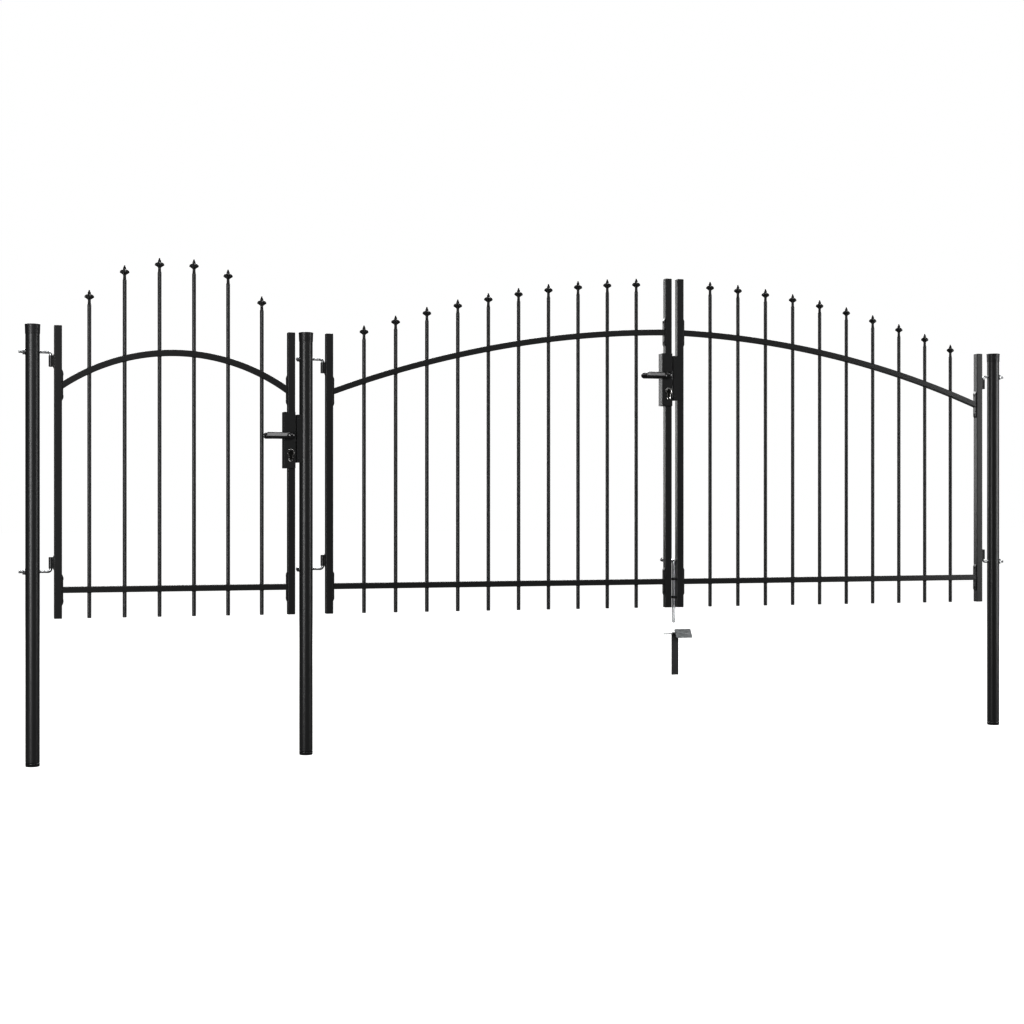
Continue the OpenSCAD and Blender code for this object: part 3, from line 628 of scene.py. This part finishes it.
# low button screws on an end plate, standing out along x: a rounded rim round a deep socket
def endScrews(x, z, way):
    p, turn = plateScrew, quarter(6)
    r, h, base, hole, floor = p["radius"], p["height"], p["base"], p["socket"], p["floor"]
    rim = np.c_[r - p["round"] * (1 - np.cos(turn)), base + (h - base) * np.sin(turn)]
    inside = [(hole + 0.2, h), (hole, h - 0.2), (hole, floor), (tipRadius, floor)]
    one = lathe(np.concatenate([[(r, -0.3)], rim, inside]), 36)
    one = laid(one, (0, 1, 0), (0, 0, 1), (way, 0, 0), (x, 0, z))
    return copies(one, [(0, 0, p["out"]), (0, 0, -p["out"])])


for name in leaves:
    body, own = name + "_leaf", leaves["left" if name == "right" else name]  # the right leaf mirrors the left
    left, right = own["hinge"], own["free"]
    arch, mid = (walkArch, (left + right) / 2) if name == "walk" else (driveArch, driveMid)
    xs, tips = barTips(arch, left, right, mid)
    grille = panel(left, right, arch, xs, tips)
    heads = copies(finial(), np.c_[xs, 0 * xs, tips - finialSizes["height"]])
    plateFace = stileSizes["side"] / 2 + panelSizes["plateT"]
    screws = []
    for x, z, way in ((left + plateFace, arch["ends"][0], 1), (right - plateFace, arch["ends"][1], -1)):
        screws += [endScrews(x, panelSizes["railZ"], way), endScrews(x, z, way)]
    screws = join(*screws)
    if name == "right":
        across = {"x": (-1, 0, 0), "at": (2 * driveMid, 0, 0)}
        grille, heads, screws = (laid(shape, **across) for shape in (grille, heads, screws))
    makePiece(name + "Panel", grille, coatFinish, body, [name + "_panel"])
    # the finials take the darker coat copy, painted shade
    makePiece(name + "Finials", heads, spearFinish, body, [name + "_finials"], 50, False)
    makePiece(name + "PlateScrews", screws, coatFinish, body)
print("panels made")

# Hinges

hingeSizes = {
    "bolt": 5.0, "bend": 11.0, "pin": 38.0, "upper": 1500.0, "lower": 704.0, "pitch": 1.5, "thread": 0.62,
    "plain": 4.0, "runOut": 3.0, "barrel": 8.0, "bore": 5.3, "barrelH": 41.0,
    "weld": 2.2, "weldAt": (6.6, 5.6), "plateH": 58.0, "plateT": 4.0, "plateW": 19.0, "stand": 11.0,
    "nut": 17.0, "nutT": 8.0, "nutEdge": 0.055, "washer": 11.0, "washerT": 2.0,
}


# bent hinge bolt: a round section along shank, bend and pin; on the shank its radius dips with the thread
def hingeBolt(shank):
    h, r = hingeSizes, hingeSizes["bend"]
    start, foot = -shank - r, -r - h["pin"]
    x = np.arange(start, -r - 0.01, h["pitch"] / 6)
    turn = quarter(13)
    bend = np.c_[-r + r * np.sin(turn), 0 * turn, -r + r * np.cos(turn)]
    down = np.array([-r - 6, foot + 1.5, foot])
    path = np.concatenate([np.c_[x, 0 * x, 0 * x], bend, np.c_[0 * down, 0 * down, down]])
    angle = fullTurn(24)
    run = np.concatenate([x - start, np.full(len(path) - len(x), shank)])
    fade = np.clip((shank - h["plain"] - run) / h["runOut"], 0, 1)
    wave = abs(2 * ((run[:, None] / h["pitch"] - angle / (2 * pi)) % 1) - 1)
    ends = np.ones(len(path))
    ends[:6] = np.linspace(0.78, 1, 6)
    ends[-1] = 0.8
    radius = (h["bolt"] - h["thread"] * fade[:, None] * wave) * ends[:, None]
    return sweep(path, polar(radius, angle), (0, 1, 0))


# barrel ring, its plate with sloped ends, and the two welds between them; the stile is towards +x
def hingeEye():
    h = hingeSizes
    half, p, c = h["barrelH"] / 2, h["plateH"] / 2, panelSizes["chamfer"]
    ring = bush(h["bore"], h["barrel"], -half, half, 0.6, 0.8, 48)
    outer, inner = h["stand"], h["stand"] - h["plateT"]
    outline = rounded([(outer, -p), (outer, p), (inner, p - c), (inner, c - p)], [0.4, 0.4, 1.5, 1.5])
    plate = laid(layered(outline, slab(-h["plateW"] / 2, h["plateW"] / 2, 0.3)), *outFront)
    z = np.linspace(-half + 2, half - 2, 40)
    bead = h["weld"] * (1 + 0.12 * np.sin(z * 2.1)) * np.clip(np.minimum(z + half, half - z) / 3, 0.5, 1)
    x, y = h["weldAt"]
    weld = sweep(np.c_[0 * z + x, 0 * z + y, z], polar(bead[:, None], fullTurn(12)), (0, 1, 0))
    return join(ring, plate, weld, laid(weld, y=(0, -1, 0)))


# hexagon with its corners taken off at both ends: the radius is the smaller of the hexagon's and a cone's
def hexNut(flats, low, high):
    angle = fullTurn(72)
    hexagon = flats / 2 / np.cos((angle + pi / 6) % (pi / 3) - pi / 6)
    take = np.linspace(0, 1, 5)
    full, small = flats / 2 / np.cos(pi / 6), flats / 2 * 0.96
    cone, drop = full + (small - full) * take, flats * hingeSizes["nutEdge"] * (1 - take)
    height = np.concatenate([low + drop[::-1], high - drop])[:, None]
    cone = np.concatenate([cone[::-1], cone])[:, None]
    return skin(polar(np.minimum(hexagon, cone), angle, height))


# washer with soft rims and its nut, against a post, out along -x
def hingeNut():
    h, face = hingeSizes, hingeSizes["washerT"]
    washer = layered(disc(h["washer"], 40), slab(0, face, 0.4, 2))
    return laid(join(washer, hexNut(h["nut"], face, face + h["nutT"])), (0, 1, 0), (0, 0, -1), (-1, 0, 0))


for name, leaf in leaves.items():
    h, axis, post, along = hingeSizes, leaf["axis"], leaf["post"], (leaf["way"], 0, 0)
    bolt = hingeBolt(abs(axis - post) + postSizes["radius"] + leaf["tail"] - h["bend"])
    nutX = post - leaf["way"] * (postSizes["radius"] + 0.05)
    bolts, eyes, nuts = [], [], []
    for z, up in ((h["upper"], 1), (h["lower"], -1)):
        bolts.append(laid(bolt, x=along, z=(0, 0, up), at=(axis, 0, z)))
        eyes.append(laid(hingeEye(), x=along, at=(axis, 0, z - up * (h["bend"] + h["barrelH"] / 2))))
        nuts.append(laid(hingeNut(), x=along, at=(nutX, 0, z)))
    # hinge bolts and nuts take the darker zinc copy, painted shade
    makePiece(name + "HingeBolts", join(*bolts), hingeFinish, "posts", [name + "_hinge_bolts"], 60, False)
    makePiece(name + "HingeEyes", join(*eyes), coatFinish, name + "_leaf", [name + "_hinge_eyes"])
    makePiece(name + "HingeNuts", join(*nuts), hingeFinish, "posts", [name + "_hinge_nuts"])
print("hinges made")

# Locks: the case's outer side and middle height

locks = {"walk": {"x": -43.5, "z": 1191.0}, "left": {"x": 1494.5, "z": 1454.0}}
lockSizes = {
    "width": 44.0, "height": 212.0, "depth": 40.0, "corner": 1.2, "rim": 0.9, "inset": 17.5, "rise": 18.0,
    "keyDrop": 48.0, "rose": 14.0, "roseT": 3.0, "screwIn": (6.0, 7.0),
}
keySizes = {
    "head": 28.0, "foot": 16.0, "height": 49.0, "thick": 2.5, "sunk": 0.35, "gap": 0.3, "cols": 96,
    "cylinder": 17.0, "neck": 10.0, "cylinderH": 33.0, "proud": 4.0, "plug": 6.2, "groove": 0.4,
    "keyway": (1.8, 9.0), "keywayDeep": 2.5,
}


# round head over a narrower round-ended foot: radius at each angle from the head's centre
def keyOutline(head, neck, height):
    angle = fullTurn(keySizes["cols"])
    across, along = abs(np.cos(angle)), -np.sin(angle)
    r, w = head / 2, neck / 2
    deep = height - r - w
    side = w / np.maximum(across, tiny)
    arc = deep * along + np.sqrt(np.clip(w ** 2 - (deep * across) ** 2, 0, None))
    foot = np.where(side * along < deep, side, arc)
    points = polar(np.where(along > 0, np.maximum(r, foot), r), angle)
    return points, outwards(points)


# key plate: a ring between two such outlines, with a soft outer rim and a bevel that falls to a sunk middle
def keyPlate():
    k = keySizes
    t, low, gap = k["thick"], k["sunk"], k["gap"]
    outer, out = keyOutline(k["head"], k["foot"], k["height"])
    inner = keyOutline(k["cylinder"] + gap, k["neck"] + gap, k["cylinderH"] + gap)[0]
    bevel = [(0, 0), (0, t - 0.5), (0.15, t - 0.15), (0.5, t), (0.8, t), (3.0, low), (3.3, low)]
    rows = [(outer - inset * out, height) for inset, height in bevel]
    return stacked(rows + [(inner, low), (inner, 0)], True)


# lock cylinder: the outline's wall, its soft rim, its face with a groove round the plug, and the keyway
def lockCylinder():
    k, face = keySizes, keySizes["proud"]
    outer, out = keyOutline(k["cylinder"], k["neck"], k["cylinderH"])
    angle, floor = fullTurn(k["cols"]), face - k["groove"]
    w, h = k["keyway"][0] / 2, k["keyway"][1] / 2
    reach = np.minimum(w / np.maximum(abs(np.cos(angle)), tiny), h / np.maximum(abs(np.sin(angle)), tiny))
    slot, plug = polar(reach, angle), polar(k["plug"], angle)
    rows = [(outer, 0), (outer, face - 0.5), (outer - 0.5 * out, face),
            (plug * 1.06, face), (plug * 1.03, floor), (plug, floor), (plug * 0.97, face),
            (slot, face), (slot, face - k["keywayDeep"])]
    return stacked(rows)


# dome and slots are shares of the radius; the slots' end is a place and the length they fade over
screwSizes = {
    "radius": 3.2, "skirt": 0.2, "dome": 0.38, "slot": 0.13, "slotDeep": 0.28, "slotEnd": (0.72, 0.12),
}


# screw with a shallow dome and a crossed slot pressed in: height falls near the two lines through its middle
def crossScrew():
    s, r, angle = screwSizes, screwSizes["radius"], fullTurn(48)
    ring = np.array([1.0, 0.88, 0.75, 0.62, 0.5, 0.35, 0.2, 0.02])[:, None]
    x, y = ring * np.cos(angle), ring * np.sin(angle)
    dome = r * s["dome"] * np.sqrt(np.clip(1.05 - ring ** 2, 0, 1))
    end, fade = s["slotEnd"]
    slot = np.exp(-(np.minimum(abs(x), abs(y)) / s["slot"]) ** 4) * np.clip((end - ring) / fade, 0, 1)
    top = np.stack([r * x, r * y, dome - r * s["slotDeep"] * slot], -1)
    return skin(np.concatenate([polar(r, angle, -s["skirt"])[None], top]))


# shape with its +z out from a lock's front, or from its back if turn is -1
def onFace(shape, x, z, turn):
    return laid(shape, (turn, 0, 0), (0, 0, 1), (0, -turn, 0), (x, -turn * lockSizes["depth"] / 2, z))


leverSizes = {
    "length": 97.0, "height": 24.0, "thick": 12.0, "y": 32.0, "tip": 12.0, "slim": 0.06,
    "spindle": 5.0, "hub": 11.5, "hubEdge": 0.5, "dome": 4.2, "sunk": 0.62, "ease": 9.0,
}
# section of the lever's outer half, as shares of its half height and half thickness, from the top edge down
leverFront = [
    (1.0, 0.0), (0.96, 0.20), (0.86, 0.36), (0.72, 0.47), (0.56, 0.54), (0.3, 0.67),
    (0.0, 0.81), (-0.28, 0.94), (-0.42, 0.97), (-0.62, 0.90), (-0.86, 0.56), (-1.0, 0.0),
]


# smooth line through a few points: a spline of Catmull and Rom's kind over the points' numbers
def smoothLine(points, count):
    knot = np.asarray(points, float)
    ends = np.concatenate([[2 * knot[0] - knot[1]], knot, [2 * knot[-1] - knot[-2]]])
    t = np.linspace(0, len(knot) - 1, count)
    i = np.minimum(t.astype(int), len(knot) - 2)
    f = (t - i)[:, None]
    a, b, c, d = (ends[i + k] for k in range(4))
    square, cube = 2 * a - 5 * b + 4 * c - d, 3 * b - a - 3 * c + d
    return 0.5 * (2 * b + (c - a) * f + square * f ** 2 + cube * f ** 3)


# lever: a section with a sloping outer face drawn out along x; it closes in a quarter ellipse at the tip and
# behind the hub, is a little slimmer in the middle and sinks at the hub; its outer face is towards -y
def lever():
    v = leverSizes
    back, tip = v["height"] / 2, -v["length"]
    share = (1 - np.cos(np.linspace(0, pi, 64))) / 2
    x = back + (tip - back) * share
    near = np.clip((back - x) / back, 0, 1)
    far = np.clip((x - tip) / v["tip"], 0, 1)
    close = np.sqrt(np.clip(1 - (1 - near) ** 2, 0, 1)) * np.sqrt(np.clip(1 - (1 - far) ** 2, 0, 1))
    close = np.maximum(close, 0.02)
    slim = 1 - v["slim"] * np.sin(share * pi)
    waist = np.clip((-x - v["hub"]) / v["ease"], 0, 1)
    low = v["sunk"] + (1 - v["sunk"]) * waist ** 2 * (3 - 2 * waist)
    tall, deep = v["height"] / 2 * close * slim, v["thick"] / 2 * close ** 0.6 * low
    angle = np.linspace(-pi / 2, pi / 2, 18)[1:-1]
    inner = np.stack([np.sin(angle), -np.cos(angle) ** 0.6], -1)
    section = np.concatenate([smoothLine(leverFront, 28), inner])
    z, y = tall[:, None] * section[:, 0], -deep[:, None] * section[:, 1]
    return skin(np.stack([x[:, None] + 0 * z, y, z], -1)[:, ::-1])


# spindle with a domed hub at each end: the hub is a low drum whose face is a part of a parabola
def leverSpindle():
    v = leverSizes
    r, edge, dome = v["hub"], v["hubEdge"], v["dome"]
    low, high = v["y"] - v["thick"] / 2, v["y"] + v["thick"] / 2
    share = np.linspace(1, 0.01, 9)
    face = np.c_[(r - edge) * share, high - dome * share ** 2]
    rim = [(v["spindle"], low), (r - edge, low), (r, low + edge), (r, high - dome - edge)]
    end = np.concatenate([rim, face])
    return lathe(np.concatenate([end[::-1] * (1, -1), end]), 44)


for name, lock in locks.items():
    body, k, side, middle = name + "_leaf", lockSizes, lock["x"], lock["z"]
    half, (screwIn, screwDown) = k["height"] / 2, k["screwIn"]
    outline = rounded(rectangle(k["width"], k["depth"], (side - k["width"] / 2, 0)), k["corner"])
    case = layered(outline, slab(middle - half, middle + half, k["rim"]))
    axis, leverZ, keyZ = side - k["inset"], middle + k["rise"], middle - k["keyDrop"]
    rose = layered(disc(k["rose"], 56), slab(-0.5, k["roseT"], 1.0))
    screwX = side - k["width"] + screwIn
    parts, plates, cylinders, screws = [case], [], [], []
    for turn in (1, -1):
        parts.append(onFace(rose, axis, leverZ, turn))
        plates.append(onFace(keyPlate(), axis, keyZ, turn))
        cylinders.append(onFace(lockCylinder(), axis, keyZ, turn))
        for up in (-1, 1):
            screws.append(onFace(crossScrew(), screwX, middle + up * (half - screwDown), turn))
    makePiece(name + "LockCase", join(*parts), coatFinish, body, [name + "_lock_case"])
    makePiece(name + "KeyPlates", join(*plates), nickelFinish, body, [name + "_key_plates"])
    # the cylinders take the darker nickel copy, painted shade in their recess
    makePiece(name + "LockCylinders", join(*cylinders), cylinderFinish, body, [name + "_lock_cylinders"])
    makePiece(name + "LockScrews", join(*screws), coatFinish, body, (), 50, False)
    levers = [laid(leverSpindle(), *alongY, (axis, 0, leverZ))]
    for way in (-1, 1):
        levers.append(laid(lever(), y=(0, -way, 0), at=(axis, way * leverSizes["y"], leverZ)))
    makePiece(name + "Levers", join(*levers), handleFinish, name + "_handle", [name + "_levers"], 50, False)
print("locks made")

# Keeps

keepSizes = {
    "thick": 3.0, "corner": 1.5, "rim": 0.3, "slotDepth": 14.0, "slots": ((18.0, 34.0), (-48.0, 42.0)),
    "parting": 15.0, "screwIn": (9.0, 14.0),
}


# distance from a point to the sides of a box, along each angle
def toSides(angle, at, low, high):
    ways = np.stack([np.cos(angle), np.sin(angle)])
    ends = np.where(ways > 0, (np.array(high) - at)[:, None], (np.array(low) - at)[:, None])
    flat = abs(ways) < 1e-9
    return np.min(np.where(flat, 1e9, ends / np.where(flat, 1, ways)), axis=0)


# plate with an oblong slot: both outlines are drawn round the slot's middle by angle, corners included
def slottedPlate(low, high, at, slot, thick):
    at, slot = np.array(at, float), np.array(slot, float) / 2
    corners = [np.arctan2(y - at[1], x - at[0]) for x in (low[0], high[0]) for y in (low[1], high[1])]
    corners += [np.arctan2(y, x) for x in (-slot[0], slot[0]) for y in (-slot[1], slot[1])]
    angle = np.unique(np.concatenate([np.linspace(-pi, pi, 33)[:-1], corners]).round(6))
    ray = polar(1, angle)
    outer = at + ray * toSides(angle, at, low, high)[:, None]
    inner = at + ray * toSides(angle, np.zeros(2), -slot, slot)[:, None]
    return stacked([(outer, 0), (outer, thick), (inner, thick), (inner, 0)], True)


# keep: a front plate with soft edges and a side plate with the latch slot and the bolt slot
def keep(node, lockZ, reach):
    k = keepSizes
    low, high = (np.array(corner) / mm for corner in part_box(node))
    t, width = k["thick"], reach - low[0]
    middle = (low[0] + width / 2, (low[2] + high[2]) / 2)
    outline = rounded(rectangle(width, high[2] - low[2], middle), k["corner"])
    shapes = [laid(layered(outline, slab(0, t, k["rim"])), *outFront, (0, low[1] + t, 0))]
    parting = lockZ - k["parting"]
    spans = ((parting, high[2] - k["rim"]), (low[2] + k["rim"], parting))
    for (rise, tall), (lower, upper) in zip(k["slots"], spans):
        front, back, slot = (low[1] + 0.8, lower), (high[1], upper), (k["slotDepth"], tall)
        side = slottedPlate(front, back, (0, lockZ + rise), slot, t)
        shapes.append(laid(side, *alongX, (low[0], 0, 0)))
    inward, drop = k["screwIn"]
    places = [(low[0] + inward, low[1], z) for z in (low[2] + drop, high[2] - drop)]
    return join(*shapes), join(*[laid(crossScrew(), *outFront, place) for place in places])


keeps = {
    "walk": {"body": "posts", "lock": "walk", "reach": -17.0},
    "right": {"body": "right_leaf", "lock": "left", "reach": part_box("right_keep")[1][0] / mm},
}
for name, own in keeps.items():
    plates, heads = keep(name + "_keep", locks[own["lock"]]["z"], own["reach"])
    makePiece(name + "Keep", plates, coatFinish, own["body"], [name + "_keep"])
    makePiece(name + "KeepScrews", heads, coatFinish, own["body"], (), 50, False)
print("keeps made")

# Drop bolt

boltSizes = {
    "x": 1508.0, "radius": 6.5, "low": 470.5, "high": 722.0, "bend": 12.0, "handle": 126.0, "edge": 1.6,
    "sleeve": 8.0, "sleeveStart": 16.0, "round": 3.0,
    "ribs": 9, "ribDeep": 0.7, "ribStart": 12.0, "ribEnd": 18.0,
}


# rod: a round section along shank, bend and handle, with a chamfered lower end
def dropRod():
    b, r, low, high = boltSizes, boltSizes["bend"], boltSizes["low"], boltSizes["high"]
    turn, straight = quarter(15), high - r
    up = np.concatenate([[low, low + b["edge"]], np.linspace(low + 20, straight - 6, 8)])
    bend = np.c_[0 * turn, r * (1 - np.cos(turn)), straight + r * np.sin(turn)]
    back = np.array([40.0, 80.0, b["handle"] - 4])
    path = np.concatenate([np.c_[0 * up, 0 * up, up], bend, np.c_[0 * back, back, high + 0 * back]])
    radius = np.full(len(path), b["radius"])
    radius[0] -= b["edge"]
    return laid(sweep(path, polar(radius[:, None], fullTurn(40)), (1, 0, 0)), at=(b["x"], 0, 0))


# sleeve: a turned grip whose radius dips in even ribs, closed by a rounded end
def gripSleeve():
    b, r, soft = boltSizes, boltSizes["sleeve"], boltSizes["round"]
    length = b["handle"] - b["sleeveStart"]
    s = np.linspace(0, length - soft, 120)
    ribbed = length - b["ribStart"] - b["ribEnd"]
    wave = 0.5 - 0.5 * np.cos(2 * pi * b["ribs"] * np.clip((s - b["ribStart"]) / ribbed, 0, 1))
    wall = np.c_[r - b["ribDeep"] * wave, s]
    wall[0, 0] -= 0.5
    turn = quarter(8)[1:]
    end = np.c_[r - soft + soft * np.cos(turn), length - soft + soft * np.sin(turn)]
    start = [(b["radius"] + 0.1, 1.0), (b["radius"] + 0.3, 0.0)]
    shape = lathe(np.concatenate([start, wall, end, [(0.1, length)]]), 40)
    return laid(shape, *alongY, (b["x"], b["sleeveStart"], b["high"]))


guideSizes = {"wall": 1.7, "z": (647.0, 574.0), "height": 9.0, "rim": 0.6}


# bolt guide: a ring round the rod that runs out to the stile; outer and inner outlines are matched by angle
def boltGuide():
    high = np.array(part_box("bolt_guides")[1]) / mm
    r, face = high[1], high[0] - boltSizes["x"]
    hole, rim, t = r - guideSizes["wall"], guideSizes["rim"], guideSizes["height"] / 2
    corner = np.arctan2(r, face)
    corners = [corner, -corner, pi / 2, -pi / 2]
    angle = np.unique(np.concatenate([np.linspace(-pi, pi, 49)[:-1], corners]).round(6))
    ahead, aside = np.cos(angle), abs(np.sin(angle))
    square = np.minimum(r / np.maximum(aside, tiny), face / np.maximum(ahead, tiny))
    reach = np.where(ahead > tiny, square, r)
    ray = polar(1, angle)
    outer, inner = ray * reach[:, None], ray * hole
    soft = ray * np.where(reach * ahead > face - 0.01, reach, reach - rim)[:, None]
    rows = [(soft, -t), (outer, rim - t), (outer, t - rim), (soft, t), (inner, t), (inner, -t)]
    return stacked(rows, True)


guides = copies(boltGuide(), [(boltSizes["x"], 0, z) for z in guideSizes["z"]])
makePiece("boltGuides", guides, coatFinish, "right_leaf", ["bolt_guides"])
makePiece("dropBoltRod", dropRod(), zincFinish, "drop_bolt", ["drop_bolt_rod"], 40)
makePiece("dropBoltSleeve", gripSleeve(), handleFinish, "drop_bolt", ["drop_bolt_sleeve"], 50, False)
print("drop bolt made")

# Ground stop

stopSizes = {
    "left": 1493.0, "right": 1523.5, "front": -15.5, "leg": 3.0, "low": 260.0, "high": 430.0,
    "pinY": -24.5, "pinZ": 427.0, "pin": 2.0, "pinClear": 0.3, "pinEdge": 0.6, "eye": 12.0, "eyeWidth": 9.0,
    "tail": 1453.5, "flapX": (1505.1, 1575.1), "flapL": 40.0, "flapT": 3.0, "flapCorner": 3.0, "slope": 57.0,
}


# flap: a thin oblong sheet with rounded corners and soft edges, sloped about the pin it is fixed to
def flap():
    s, (left, right) = stopSizes, stopSizes["flapX"]
    outline = rounded(rectangle(right - left, s["flapL"], ((left + right) / 2, 0)), s["flapCorner"])
    sheet = layered(outline, slab(-s["flapT"] / 2, s["flapT"] / 2, 0.5))
    rise, run = np.sin(np.radians(s["slope"])), np.cos(np.radians(s["slope"]))
    sheet = laid(sheet, (1, 0, 0), (0, run, rise), (0, -rise, run), (0, s["pinY"], s["pinZ"]))
    length, r, edge = right - s["tail"], s["pin"], s["pinEdge"]
    pin = lathe([(r - edge, 0), (r, edge), (r, length - edge), (r - edge, length)], 24)
    return join(sheet, laid(pin, *alongX, (s["tail"], s["pinY"], s["pinZ"])))


# stake: an angle section with rounded bends carried up
def stake():
    s = stopSizes
    left, right, front, t = s["left"], s["right"], s["front"], s["leg"]
    back, inX, inY = front + right - left, right - t, front + t
    corners = [(left, front), (right, front), (right, back), (inX, back), (inX, inY), (left, inY)]
    return layered(rounded(corners, [0.8, 3.4, 0.8, 0.8, 1.6, 0.8]), slab(s["low"], s["high"], 0.4))


# eye for the flap's pin, on a short neck from the stake
def stakeEye():
    s = stopSizes
    left, front, width, pinZ = s["left"], s["front"], s["eyeWidth"], s["pinZ"]
    hole, r = s["pin"] + s["pinClear"], s["eye"] / 2
    ring = laid(bush(hole, r, 0, width, 0.4, 0.6, 36), *alongX, (left, s["pinY"], pinZ))
    reach = front - s["pinY"] - hole
    middle = (front + 1 - (reach + 1) / 2, (s["high"] + pinZ - r) / 2)
    neck = rounded(rectangle(reach + 1, s["high"] - pinZ + r, middle), 0.4)
    return join(ring, laid(layered(neck, slab(0.3, width - 0.3, 0.25)), *alongX, (left, 0, 0)))


makePiece("stopStake", stake(), stakeFinish, "posts", ["stop_stake"])
# the eye takes the darker coat copy, painted shade on the stop's knuckle
makePiece("stopEye", stakeEye(), spearFinish, "posts")
makePiece("stopFlap", flap(), flapFinish, "flap", ["stop_flap"])
print("ground stop made")

# Stage: floor and surround that are white to the camera and dim to the gate, soft lights, the photo's camera

stage = {"floor": 60.0, "floorColour": (0.16, 0.16, 0.16, 1.0), "white": 0.995, "surround": 0.08}
pureWhite = (1, 1, 1, 1)


# lit paper, to the eye only
def paperSurface(place):
    return {"Emission Strength": place.node("ShaderNodeLightPath", {}, {}, "Is Camera Ray") * stage["white"]}


paperFixed = {"Base Color": stage["floorColour"], "Roughness": 1.0, specular: 0.0,
              "Emission Color": pureWhite}
paper = finish("palePaper", None, paperFixed, paperSurface)[0]
floorMesh = bpy.data.meshes.new("floor")
corners = np.c_[rectangle(2 * stage["floor"], 2 * stage["floor"]), np.zeros(4)]
floorMesh.from_pydata(corners.tolist(), [], [(0, 1, 2, 3)])
floorMesh.materials.append(paper)
floor = bpy.data.objects.new("floor", floorMesh)
scene.collection.objects.link(floor)

world = bpy.data.worlds.new("studio")
scene.world = world
world.use_nodes = True
seen = Wire(world.node_tree).node("ShaderNodeLightPath", {}, {}, "Is Camera Ray")
level = seen * (1.0 - stage["surround"]) + stage["surround"]
background = world.node_tree.nodes["Background"]
background.inputs["Color"].default_value = pureWhite
world.node_tree.links.new(level.socket, background.inputs["Strength"])

lamps = {
    "leftStrip": {"at": (-2.8, -2.7, 1.35), "to": (0.3, 0.0, 0.9), "size": (1.6, 2.7), "power": 150.0},
    "rightBox": {"at": (5.6, -2.0, 1.6), "to": (2.0, 0.0, 1.0), "size": (2.4, 3.0), "power": 150.0},
    "sideNear": {"at": (0.25, 2.1, 1.65), "to": (2.25, 2.1, 1.65), "size": (2.6, 1.6), "power": 20.0},
    "sideFar": {"at": (0.25, 4.95, 1.65), "to": (2.25, 4.95, 1.65), "size": (2.4, 1.8), "power": 110.0},
    "topFront": {"at": (1.2, -5.2, 4.6), "to": (1.0, 0.0, 1.2), "size": (6.0, 2.0), "power": 200.0},
    "topBack": {"at": (1.2, 5.0, 5.6), "to": (1.0, 0.0, 1.2), "size": (9.0, 4.4), "power": 1300.0},
}
for name, lamp in lamps.items():
    light = bpy.data.lights.new(name, "AREA")
    light.shape = "RECTANGLE"
    light.size, light.size_y = lamp["size"]
    light.energy = lamp["power"]
    holder = bpy.data.objects.new(name, light)
    scene.collection.objects.link(holder)
    holder.location = lamp["at"]
    aim = Vector(lamp["to"]) - Vector(lamp["at"])
    holder.rotation_euler = aim.to_track_quat("-Z", "Y").to_euler()
    holder.visible_camera = False

view = {"at": (-1.2238, -6.4618, 0.9332), "yaw": 17.552, "lens": 60.5, "sensor": 36.0, "shift": -0.0035}
camera = bpy.data.cameras.new("camera")
camera.lens = view["lens"]
camera.sensor_width = view["sensor"]
camera.shift_y = view["shift"]
cameraHolder = bpy.data.objects.new("camera", camera)
cameraHolder.location = view["at"]
cameraHolder.rotation_euler = (pi / 2, 0, -np.radians(view["yaw"]))
scene.collection.objects.link(cameraHolder)
scene.camera = cameraHolder
scene.view_settings.view_transform = "Standard"
scene.view_settings.gamma = 0.7  # dark, crisp tones as in a shop picture
print("stage made")
